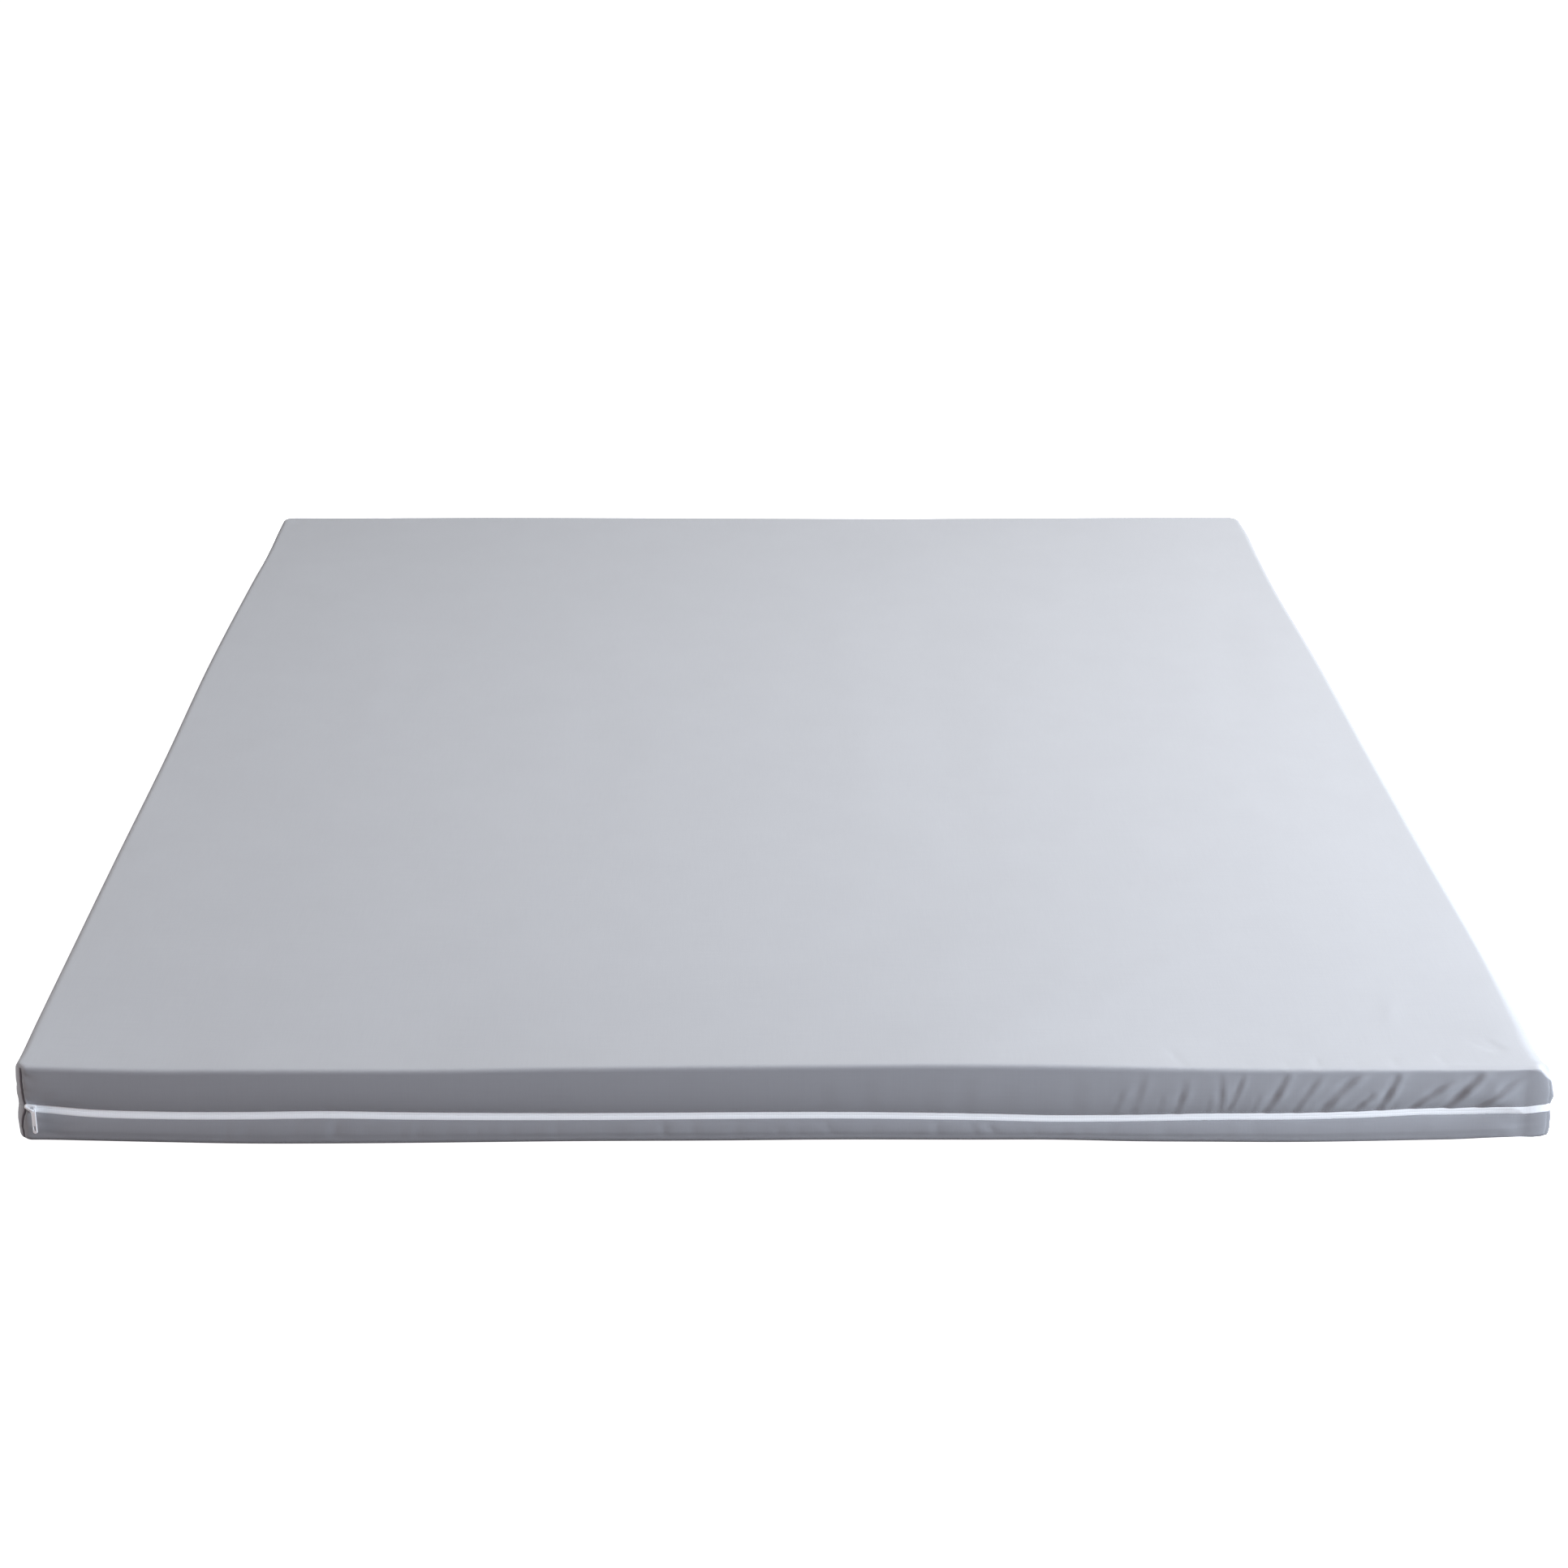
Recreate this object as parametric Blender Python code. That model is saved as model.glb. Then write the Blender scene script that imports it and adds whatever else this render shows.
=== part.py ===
"""Sofa bed mattress: a foam slab in a zipped cotton cover, lying flat on the floor.

The mattress is one filled solid. Its cover is a top shell and a bottom shell, and a zip
joins them along the front and the right side. The outline is walked once around, edge by
edge, and at each station a wall section is drawn from the tables below.
Metres, +Z up. The front edge faces -Y, and the floor is z = 0.
"""

import math

import bmesh
import bpy
import numpy as np
from mathutils import Matrix, Vector

MM = 0.001

WIDTH = 1.400
LENGTH = 2.000
CORNER_RADIUS = 0.013
# The cover bulges more on one side, so this brings the middle of the box to x = y = 0.
BOX_CENTRE = (0.0026, -0.0001)
# The front-right corner is drawn out to the right only: past this reach its front is
# flattened, from nothing to a full share between two places across.
FLAT_CORNER_REACH = 0.0035
FLAT_CORNER_SHARE = 0.8
FLAT_CORNER = (0.650, 0.685)

# The section's points: insets on the top, angles round the folds and shares of the walls'
# height, all from the top down.
FLAT_TOP = 0.0815
TOP_INSETS = (0.320, 0.150, 0.060, 0.022)
CROWN = (0.020, 0.320)
FOLD_ANGLES = (75, 45, 15)
UPPER_SHARES = (0.12, 0.30, 0.48, 0.66, 0.84, 1.0)
LOWER_SHARES = (0.35, 0.70)
FOOT_ANGLES = (0, 38, 68)
HEEL_INSET = 0.014
UNDERSIDE_INSET = 0.080
FOOT_FOLD = 0.0068
LOWER_PUFF = 0.0018
WALL_RISE = 0.036

ZIP_HALF = 0.0036
ZIP_DEPTH = 0.0022
SEAM_HALF = 0.0006
SEAM_DEPTH = 0.0014
CORNER_SEAM_DEPTH = 0.0018
CORNER_SEAM_HALF = 0.0030
SEAM_ON_FOLD = 0.6
CLEARANCE = 0.0003
TAPE_THICKNESS = 0.0010

# Each edge in walking order, seen from above: its direction, the way out, its length
# and how far it lies from the middle.
EDGES = {
    "front": ((1, 0), (0, -1), WIDTH, LENGTH / 2),
    "right": ((0, 1), (1, 0), LENGTH, WIDTH / 2),
    "back": ((-1, 0), (0, 1), WIDTH, LENGTH / 2),
    "left": ((0, -1), (-1, 0), LENGTH, WIDTH / 2),
}
START = {"front": 0.0, "right": WIDTH, "back": WIDTH + LENGTH, "left": 2 * WIDTH + LENGTH}
AROUND = 2 * (WIDTH + LENGTH)

# One row for each wall section, in millimetres. "along" runs from the edge's middle in
# walking order. "top" is the height of the upper fold, "zip" that of the zip or seam,
# "foot" that of the lower fold's underside, "out" the outline's bulge past the plain
# rectangle, "puff" how far the upper wall bulges past that, "fold" the radius of the
# upper fold, and "waist" how far the wall is drawn in at the zip.
SECTIONS = (
    # edge, along, top, zip, foot, out, puff, fold, waist
    ("front", -700, 80.6, 38.9, 4.0, 0.0, 0.5, 8, 0.3),
    ("front", -670, 79.4, 37.0, 4.0, 0.0, 1.5, 8, 2.0),
    ("front", -640, 78.4, 34.2, 3.3, 0.0, 2.0, 8, 3.3),
    ("front", -566, 76.8, 31.3, 1.6, 0.0, 2.5, 8, 3.5),
    ("front", -491, 76.8, 30.9, 0.2, 0.0, 2.5, 8, 3.5),
    ("front", -417, 76.8, 31.7, 0.2, 0.0, 2.5, 8, 3.5),
    ("front", -342, 76.8, 30.5, 0.8, 0.0, 2.5, 8, 3.5),
    ("front", -193, 79.2, 29.7, 2.5, 0.0, 2.5, 8, 3.5),
    ("front", -44, 80.8, 30.5, 3.3, 0.0, 2.5, 8, 3.5),
    ("front", 31, 81.6, 30.9, 4.1, 0.0, 2.5, 8, 3.5),
    ("front", 180, 82.4, 29.3, 4.1, 0.0, 2.5, 8, 3.5),
    ("front", 255, 81.6, 27.6, 4.1, 0.0, 2.5, 8, 3.5),
    ("front", 329, 80.0, 28.0, 2.5, 0.0, 2.5, 8, 3.5),
    ("front", 404, 78.4, 29.3, 2.0, 0.0, 2.5, 8, 3.5),
    ("front", 478, 77.6, 29.7, 1.6, 0.0, 3.0, 8, 3.5),
    ("front", 553, 77.8, 32.1, 2.5, 0.0, 3.0, 8, 3.5),
    ("front", 590, 78.0, 34.2, 3.3, 0.0, 3.5, 9, 3.5),
    ("front", 627, 78.4, 34.5, 4.1, 0.5, 3.5, 10, 3.5),
    ("front", 670, 79.4, 36.8, 6.8, 2.0, 4.0, 13, 1.5),
    ("front", 686, 79.6, 39.0, 9.4, 5.0, 4.5, 16, -0.5),
    ("right", -1000, 79.6, 41.8, 10.4, 14.2, 2.5, 22, -2.0),
    ("right", -985, 79.7, 39.6, 8.6, 6.2, 5.0, 16, -0.5),
    ("right", -965, 80.0, 36.6, 6.0, 4.0, 5.0, 12, 1.5),
    ("right", -900, 80.5, 33.5, 4.0, 4.8, 4.0, 9, 3.5),
    ("right", -725, 81.0, 31.5, 2.0, 4.6, 3.0, 8, 3.5),
    ("right", -446, 80.8, 30.5, 1.0, 2.2, 3.0, 8, 3.5),
    ("right", -120, 81.5, 31.5, 2.0, 1.3, 2.5, 8, 3.5),
    ("right", 267, 82.5, 30.0, 1.5, 1.5, 3.0, 8, 3.5),
    ("right", 649, 82.0, 31.0, 1.0, -0.8, 2.5, 8, 3.5),
    ("right", 820, 82.0, 30.0, 2.0, 2.2, 2.0, 8, 3.5),
    ("right", 920, 81.5, 30.5, 3.0, 4.5, 1.5, 8, 3.5),
    ("back", -700, 81.2, 31.5, 4.0, 1.0, 2.0, 8, 0.3),
    ("back", -620, 82.0, 31.0, 3.0, 2.0, 2.5, 8, 3.5),
    ("back", -433, 80.7, 30.0, 1.0, 2.0, 2.5, 8, 3.5),
    ("back", -194, 79.5, 30.5, 1.5, 2.0, 2.0, 8, 3.5),
    ("back", 44, 80.2, 29.5, 2.5, 2.0, 2.5, 8, 3.5),
    ("back", 403, 82.4, 30.5, 1.0, 2.0, 2.5, 8, 3.5),
    ("back", 620, 81.8, 31.0, 2.5, 2.0, 2.5, 8, 3.5),
    ("left", -1000, 81.0, 32.0, 4.0, 0.0, 2.0, 8, 0.3),
    ("left", -940, 81.4, 31.5, 3.0, 1.8, 2.0, 8, 3.3),
    ("left", -820, 81.6, 31.0, 1.5, 0.8, 2.5, 8, 3.5),
    ("left", -649, 82.0, 30.0, 1.0, 3.0, 2.5, 8, 3.5),
    ("left", -267, 82.2, 31.0, 1.5, 6.0, 2.0, 8, 3.5),
    ("left", 120, 80.5, 31.5, 2.0, 3.5, 2.5, 8, 3.5),
    ("left", 446, 80.7, 30.5, 1.0, 3.1, 2.5, 8, 3.5),
    ("left", 725, 81.0, 32.0, 2.5, 1.8, 2.5, 8, 3.5),
    ("left", 900, 80.5, 34.5, 4.0, 1.2, 2.0, 8, 3.5),
    ("left", 970, 80.6, 36.5, 4.6, 0.6, 0.8, 8, 2.0),
)

# The pull creases in the front's upper wall, in millimetres: each runs from the zip up
# to a place nearer the fold, which it reaches at a share "from" of the wall's height. It
# is a trough on its left rising to a crest on its right.
CREASES = (
    # at zip, at top, from, bow, depth, half width
    (-681, -664, 0.60, 0, 0.5, 5),
    (47, 47, 0.30, 0, 0.3, 9),
    (88, 86, 0.30, 0, 0.4, 8),
    (176, 176, 0.20, 0, 0.4, 8),
    (275, 274, 0.20, 0, 0.4, 8),
    (309, 318, 0.35, 0, 0.5, 7),
    (327, 341, 0.00, -2, 0.7, 7),
    (367, 377, 0.00, -2, 1.2, 6),
    (393, 396, 0.50, 0, 0.5, 5),
    (408, 408, 0.00, 1, 1.3, 5),
    (420, 432, 0.00, 0, 1.1, 5),
    (437, 448, 0.50, 0, 0.9, 5),
    (450, 467, 0.00, 1, 1.3, 6),
    (475, 488, 0.50, 0, 0.9, 5),
    (479, 501, 0.00, -3, 1.1, 6),
    (501, 531, 0.00, -4, 1.0, 7),
    (530, 548, 0.60, 0, 1.2, 5),
    (554, 569, 0.00, 1, 1.3, 6),
    (569, 576, 0.60, 0, 0.6, 4),
    (582, 614, 0.35, -3, 1.1, 6),
    (612, 643, 0.00, 0, 1.5, 7),
    (630, 687, 0.00, 3, 1.4, 7),
)

# The short upright puckers of the front's lower wall: place, depth and half width.
PUCKERS = (
    # along, depth, half width
    (-489, 0.5, 7),
    (-440, 0.5, 6),
    (-407, 0.9, 6),
    (-345, 0.5, 7),
    (-331, 0.9, 6),
    (-270, 0.6, 7),
    (-203, 0.5, 7),
    (-160, 0.5, 7),
    (-105, 1.0, 6),
    (-78, 0.7, 6),
    (-37, 0.5, 7),
    (46, 0.9, 7),
    (88, 0.5, 7),
    (147, 0.8, 6),
    (198, 0.9, 6),
    (235, 0.5, 7),
    (282, 0.5, 7),
    (357, 0.5, 7),
    (439, 0.4, 7),
)

# The front-left corner seam wanders sideways as it goes down: height and shift.
SEAM_WANDER = ((0, 0), (18, 0), (26, 2), (32, 5), (38, 7.6), (44, 7.2), (50, 6.2), (70, 6), (82, 4.5))
WANDER_REACH = 0.0085

# Station spacing along each stretch of the outline, and the places beside a corner.
COARSE_STEP = 0.075
FRONT_STEP = 0.017
CREASED_STEP = 0.0085
CREASED_FROM = 0.310
LEAN_LIMIT = 0.031
BESIDE_CORNER = (0.003, 0.006, 0.0095, CORNER_RADIUS)

ZIP_START = -0.6905
ZIP_END = LENGTH / 2 - 0.0055

SLIDER_ALONG = -0.6858
SLIDER_TILT = math.radians(28)
SLIDER_STAND_OFF = 0.0009
SLIDER_LENGTH = 0.0100
SLIDER_HEIGHT = 0.0088
BODY_THICKNESS = 0.0022
NOSE_RADIUS = 0.0024
HEEL_RADIUS = 0.0014
BRIDGE_WIDTH = 0.0018
BRIDGE_BAR = 0.0012
BRIDGE_GAP = 0.0020
BRIDGE_SPAN = 0.0088

PULL_EYE_TO_END = 0.0225
PULL_TOP_WIDTH = 0.0041
PULL_END_WIDTH = 0.0044
PULL_THICKNESS = 0.0011
PULL_STAND_OFF = BODY_THICKNESS + 0.0004
PULL_KICK = math.radians(8.0)
PULL_LEAN = math.radians(-4.0)
EYE = (0.0026, 0.0028)
SLOT = (0.0017, 0.0050)
SLOT_MIDDLE = -0.0175

CLOTH_COLOUR = (0.50, 0.52, 0.57)
TAPE_COLOUR = (0.82, 0.84, 0.88)
PAINT_COLOUR = (0.84, 0.85, 0.88)


def outline_point(edge, along, out):
    """A point of the plan outline, moved out by a distance, and the turn of the way out."""
    direction, outward, length, reach = EDGES[edge]
    straight = length / 2 - CORNER_RADIUS
    turn = math.copysign(max(abs(along) - straight, 0.0) / CORNER_RADIUS * math.pi / 4, along)
    rounding = max(out, -FOOT_FOLD)
    shrink = out - rounding
    kept = max(min(along, straight), -straight) * (straight + shrink) / straight
    sideways = kept + (CORNER_RADIUS + rounding) * math.sin(turn)
    forward = reach + shrink - CORNER_RADIUS + (CORNER_RADIUS + rounding) * math.cos(turn)
    x, y = (d * sideways + o * forward for d, o in zip(direction, outward))
    past_flat = max(-y - LENGTH / 2 - FLAT_CORNER_REACH, 0.0)
    y += FLAT_CORNER_SHARE * smooth_step(x, *FLAT_CORNER) * past_flat
    return (x, y), turn


def closed_table():
    """The sections keyed by distance around, with two rows repeated past each end."""
    keys = [START[row[0]] + EDGES[row[0]][2] / 2 + row[1] * MM for row in SECTIONS]
    values = [[value * MM for value in row[2:]] for row in SECTIONS]
    before = [key - AROUND for key in keys[-2:]]
    after = [key + AROUND for key in keys[:2]]
    return np.array(before + keys + after), np.array(values[-2:] + values + values[:2])


KEYS, VALUES = closed_table()
SLOPES = np.gradient(VALUES, KEYS, axis=0)


def section_at(edge, along):
    """The sections' values at a station, read from smooth curves through the rows."""
    key = START[edge] + EDGES[edge][2] / 2 + along
    row = int(np.searchsorted(KEYS, key, side="right")) - 1
    span = KEYS[row + 1] - KEYS[row]
    t = (key - KEYS[row]) / span
    rise = t * t * (3 - 2 * t)
    leave = span * t * (1 - t) ** 2
    arrive = span * t * t * (1 - t)
    level = (1 - rise) * VALUES[row] + rise * VALUES[row + 1]
    return level + leave * SLOPES[row] - arrive * SLOPES[row + 1]


def smooth_step(value, low, high):
    t = min(max((value - low) / (high - low), 0.0), 1.0)
    return t * t * (3 - 2 * t)


def crease_offset(along, t):
    """How far the pull creases move a point outward at a share t down the upper wall."""
    swing = math.sqrt(2 * math.e)
    total = 0.0
    for zip_end, top_end, start, bow, depth, half_width in CREASES:
        down = min(max((t - start) / (1 - start), 0.0), 1.0)
        centre = top_end + (zip_end - top_end) * down + 4 * bow * down * (1 - down)
        rise = WALL_RISE * (1 - start)
        slant = math.hypot((top_end - zip_end) * MM, rise) / rise
        across = (along - centre * MM) / slant / (half_width * MM)
        fade = smooth_step(t, start - 0.2, start + 0.25)
        total += fade * depth * MM * swing * across * math.exp(-across * across)
    return total


def lean_at(edge, along):
    """How far the mesh's line from this place on the zip leans on by the fold.

    It follows the creases, so that each one lies along the mesh's lines.
    """
    if edge != "front":
        return 0.0
    rows = [row for row in CREASES if row[0] * MM > CREASED_FROM]
    places = [CREASED_FROM] + [row[0] * MM for row in rows] + [WIDTH / 2 - CORNER_RADIUS]
    leans = [0.0] + [min((row[1] - row[0]) * MM, LEAN_LIMIT) for row in rows] + [0.0]
    return float(np.interp(along, places, leans))


def pucker_offset(along):
    """How far the puckers move a point of the front's lower wall outward."""
    total = 0.0
    for centre, depth, half_width in PUCKERS:
        across = (along - centre * MM) / (half_width * MM)
        total -= depth * MM * math.exp(-across * across)
    return total


def corner_seam(edge, along, reach):
    """1 on a corner seam, falling to 0 over this reach beside it."""
    beside = EDGES[edge][2] / 2 - abs(along)
    return math.exp(-((beside / reach) ** 2))


def seam_shift(edge, along, height):
    """The sideways wander of the front-left corner seam at this height."""
    heights, shifts = zip(*SEAM_WANDER)
    shift = float(np.interp(height / MM, heights, shifts)) * MM
    if edge == "front" and along < 0 or edge == "left" and along > 0:
        return shift * corner_seam(edge, along, WANDER_REACH)
    return 0.0


def zip_here(edge, along):
    """Whether the zip runs past this station, rather than the plain closing seam."""
    return edge == "right" or (edge == "front" and along > -WIDTH / 2 + 0.002)


def groove_at(edge, along):
    """Half height and depth of the channel that the zip, or the closing seam, lies in."""
    if zip_here(edge, along):
        return ZIP_HALF, ZIP_DEPTH
    return SEAM_HALF, SEAM_DEPTH


def wall_section(edge, along):
    """The section's points from the top's inner ring to the underside's.

    Each is (ahead, out, z): how far it lies ahead of the station along the edge, how far
    out of the plan outline and how high.
    """
    top, zip_height, foot, out, puff, fold, waist = section_at(edge, along)
    half, depth = groove_at(edge, along)
    lean = lean_at(edge, along)
    seam = CORNER_SEAM_DEPTH * corner_seam(edge, along, CORNER_SEAM_HALF)
    on_front = edge == "front"
    points = []
    for inset in TOP_INSETS:
        height = top + (FLAT_TOP - top) * smooth_step(inset, *CROWN)
        points.append((lean * CROWN[0] / (CROWN[0] + inset), out - inset, height))
    for angle in FOLD_ANGLES:
        turn = math.radians(angle)
        inward = fold * (1 - math.cos(turn)) + SEAM_ON_FOLD * seam
        points.append((lean, out - inward, top - fold * (1 - math.sin(turn))))
    head = top - fold
    lip = zip_height + half
    for t in UPPER_SHARES:
        ahead = lean * (1 - t)
        swell = puff * math.sin(math.pi * t) ** 0.8 - waist * t ** 4
        crease = crease_offset(along + ahead, t) if on_front else 0.0
        swell += (crease - seam) * (1 - 0.7 * t ** 6)
        points.append((ahead, out + swell, head + (lip - head) * t))
    shelf = zip_height - half
    floor = out - waist - depth
    points.append((0.0, floor, lip))
    points.append((0.0, floor, shelf))
    points.append((0.0, out - waist - 0.3 * seam, shelf))
    lowest = max(foot, 0.0)
    heel = lowest + FOOT_FOLD
    for t in LOWER_SHARES:
        swell = LOWER_PUFF * math.sin(math.pi * t / 1.6) - waist * (1 - t) ** 2
        pucker = pucker_offset(along) * math.sin(math.pi * t / 1.3) if on_front else 0.0
        points.append((0.0, out + swell + pucker - seam, shelf + (heel - shelf) * t))
    for angle in FOOT_ANGLES:
        turn = math.radians(angle)
        inward = FOOT_FOLD * (1 - math.cos(turn)) + SEAM_ON_FOLD * seam
        points.append((0.0, out - inward, heel - FOOT_FOLD * math.sin(turn)))
    points.append((0.0, out - HEEL_INSET, 0.9 * lowest))
    points.append((0.0, out - UNDERSIDE_INSET, 0.0))
    return points


def stretch(start, end, step):
    """Evenly spaced stations from start up to, but not at, the end."""
    count = max(1, round((end - start) / step))
    return [start + (end - start) * i / count for i in range(count)]


def creased_stretch(start, end):
    """Stations for the crest, middle and trough of each crease, and between them."""
    wanted = [start]
    for zip_end, _, _, _, _, half_width in CREASES:
        for share in (-0.75, 0.0, 0.75):
            wanted.append((zip_end + share * half_width) * MM)
    found = []
    for along in sorted(wanted):
        if along < start or along > end - CREASED_STEP / 2:
            continue
        if found and along - found[-1] < CREASED_STEP / 3:
            continue
        if found:
            found += stretch(found[-1], along, CREASED_STEP)[1:]
        found.append(along)
    return found[:-1] + stretch(found[-1], end, CREASED_STEP)


def stations():
    """Every (edge, along) around the outline, closer at the corners and the creases."""
    found = []
    for edge, (_, _, length, _) in EDGES.items():
        half = length / 2
        near, far = CORNER_RADIUS - half, half - CORNER_RADIUS
        if edge == "front":
            run = stretch(near, CREASED_FROM, FRONT_STEP) + creased_stretch(CREASED_FROM, far)
        else:
            run = stretch(near, far, COARSE_STEP)
        first = [beside - half for beside in (0.0, *BESIDE_CORNER)]
        last = [half - beside for beside in reversed(BESIDE_CORNER)]
        found += [(edge, along) for along in first + run[1:] + last]
    return found


def plain_material(name, colour, roughness):
    material = bpy.data.materials.new(name)
    material.use_nodes = True
    shader = material.node_tree.nodes["Principled BSDF"]
    shader.inputs["Base Color"].default_value = (*colour, 1.0)
    shader.inputs["Roughness"].default_value = roughness
    shader.inputs["Metallic"].default_value = 0.0
    return material


def finished_object(name, mesh_builder, material, parent):
    """An object of this name from a filled bmesh, shaded smooth with sharp edges kept."""
    mesh = bpy.data.meshes.new(name)
    bmesh.ops.recalc_face_normals(mesh_builder, faces=mesh_builder.faces)
    mesh_builder.to_mesh(mesh)
    mesh_builder.free()
    mesh.shade_smooth()
    mesh.set_sharp_from_angle(angle=math.radians(40))
    mesh.materials.append(material)
    obj = bpy.data.objects.new(name, mesh)
    bpy.context.scene.collection.objects.link(obj)
    obj.parent = parent
    return obj


def join_rings(builder, first, second):
    """Quads between two closed rings of equal length."""
    for i in range(len(first)):
        j = (i + 1) % len(first)
        builder.faces.new((first[i], first[j], second[j], second[i]))


def build_mattress(material, parent):
    """The filled slab: one ring of points for each row of the wall section."""
    columns = []
    for edge, along in stations():
        column = []
        for ahead, out, height in wall_section(edge, along):
            shifted = along + ahead + seam_shift(edge, along, height)
            point, _ = outline_point(edge, shifted, out)
            column.append((*point, height))
        columns.append(column)
    builder = bmesh.new()
    rings = [[builder.verts.new(point) for point in ring] for ring in zip(*columns)]
    for first, second in zip(rings, rings[1:]):
        join_rings(builder, first, second)
    builder.faces.new(rings[0])
    builder.faces.new(rings[-1])
    return finished_object("mattress", builder, material, parent)


def tape_stations():
    """The zip's stations along the front and the right side, sparse where it is straight."""
    found = [("front", ZIP_START)]
    for index, (edge, along) in enumerate(stations()):
        at_corner = EDGES[edge][2] / 2 - abs(along) < 1.01 * CORNER_RADIUS
        ahead = edge == "front" and along > ZIP_START or edge == "right" and along < ZIP_END
        if ahead and (at_corner or edge == "right" or index % 2 == 0):
            found.append((edge, along))
    found.append(("right", ZIP_END))
    return found


def build_tape(name, low, high, material, parent):
    """One tape: a strip standing in the channel between two heights from its middle."""
    builder = bmesh.new()
    rings = []
    for edge, along in tape_stations():
        _, zip_height, _, out, _, _, waist = section_at(edge, along)
        back = out - waist - ZIP_DEPTH + CLEARANCE
        face = back + TAPE_THICKNESS
        ring = []
        for depth, height in ((back, low), (face, low), (face, high), (back, high)):
            point, _ = outline_point(edge, along, depth)
            ring.append(builder.verts.new((*point, zip_height + height)))
        rings.append(ring)
    for first, second in zip(rings, rings[1:]):
        join_rings(builder, first, second)
    builder.faces.new(rings[0])
    builder.faces.new(rings[-1])
    return finished_object(name, builder, material, parent)


def arc(centre, radius, start, end, steps):
    """Points on an arc in the XZ plane, from one angle to another in degrees."""
    points = []
    for i in range(steps + 1):
        angle = math.radians(start + (end - start) * i / steps)
        points.append((centre[0] + radius * math.cos(angle), centre[1] + radius * math.sin(angle)))
    return points


def slot_outline(middle, width, height, steps):
    """A round-ended slot standing upright in the XZ plane, or a round hole if square."""
    radius = width / 2
    rise = max(height / 2 - radius, 0.0)
    upper = arc((middle[0], middle[1] + rise), radius, 0, 180, steps)
    lower = arc((middle[0], middle[1] - rise), radius, 180, 360, steps)
    return upper + lower if rise > 0 else upper[:-1] + lower[:-1]


def plate(outlines, thickness):
    """A flat plate in the XZ plane with holes, from its outline and the holes' outlines."""
    builder = bmesh.new()
    for outline in outlines:
        ring = [builder.verts.new((x, 0.0, z)) for x, z in outline]
        for i, vert in enumerate(ring):
            builder.edges.new((vert, ring[(i + 1) % len(ring)]))
    bmesh.ops.triangle_fill(builder, use_beauty=True, edges=builder.edges)
    grown = bmesh.ops.extrude_face_region(builder, geom=builder.faces[:])
    moved = [item for item in grown["geom"] if isinstance(item, bmesh.types.BMVert)]
    bmesh.ops.translate(builder, verts=moved, vec=(0.0, -thickness, 0.0))
    return builder


def body_outline():
    """The slider's body seen from outside: a narrow round nose and a broad square heel."""
    half_length = SLIDER_LENGTH / 2
    nose = arc((NOSE_RADIUS - half_length, 0.0), NOSE_RADIUS, 100, 260, 6)
    low = arc((half_length - HEEL_RADIUS, HEEL_RADIUS - SLIDER_HEIGHT / 2), HEEL_RADIUS, 280, 360, 3)
    high = arc((half_length - HEEL_RADIUS, SLIDER_HEIGHT / 2 - HEEL_RADIUS), HEEL_RADIUS, 0, 80, 3)
    return nose + low + high


def bridge_outline():
    """The bridge from above, as (along, out): two legs and a bar with a gap under it."""
    reach = BRIDGE_SPAN / 2
    inner = reach - BRIDGE_BAR
    sunk = BODY_THICKNESS - 0.0006
    under = BODY_THICKNESS + BRIDGE_GAP
    over = under + BRIDGE_BAR
    chamfer = 0.0008
    return ((-reach, sunk), (-inner, sunk), (-inner, under), (inner, under), (inner, sunk),
            (reach, sunk), (reach, over - chamfer), (reach - chamfer, over),
            (chamfer - reach, over), (-reach, over - chamfer))


def build_slider(material, parent, place):
    """The body plate with its bridge joined on."""
    slider = finished_object("zip_slider", plate([body_outline()], BODY_THICKNESS), material, parent)
    builder = bmesh.new()
    ring = [builder.verts.new((x, -out, -BRIDGE_WIDTH / 2)) for x, out in bridge_outline()]
    face = builder.faces.new(ring)
    grown = bmesh.ops.extrude_face_region(builder, geom=[face])
    moved = [item for item in grown["geom"] if isinstance(item, bmesh.types.BMVert)]
    bmesh.ops.translate(builder, verts=moved, vec=(0.0, 0.0, BRIDGE_WIDTH))
    bridge = finished_object("bridge_helper", builder, material, slider)
    bridge.hide_render = True
    bridge.display_type = "WIRE"
    join = slider.modifiers.new("bridge", "BOOLEAN")
    join.operation = "UNION"
    join.object = bridge
    slider.matrix_local = place
    return slider


def build_pull(material, parent, place):
    """The tab: a tapered plate with its eye around the bridge's leg and a slot below."""
    top, end = PULL_TOP_WIDTH / 2, PULL_END_WIDTH / 2
    foot = PULL_EYE_TO_END - end
    crown = arc((0.0, 0.0), top, 0, 180, 10)
    base = arc((0.0, -foot), end, 180, 360, 10)
    eye = slot_outline((0.0, 0.0), EYE[0], EYE[1], 6)
    slot = slot_outline((0.0, SLOT_MIDDLE), SLOT[0], SLOT[1], 6)
    builder = plate([crown + base, eye, slot], PULL_THICKNESS)
    pull = finished_object("zip_pull", builder, material, parent)
    pull.matrix_local = place
    return pull


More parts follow.
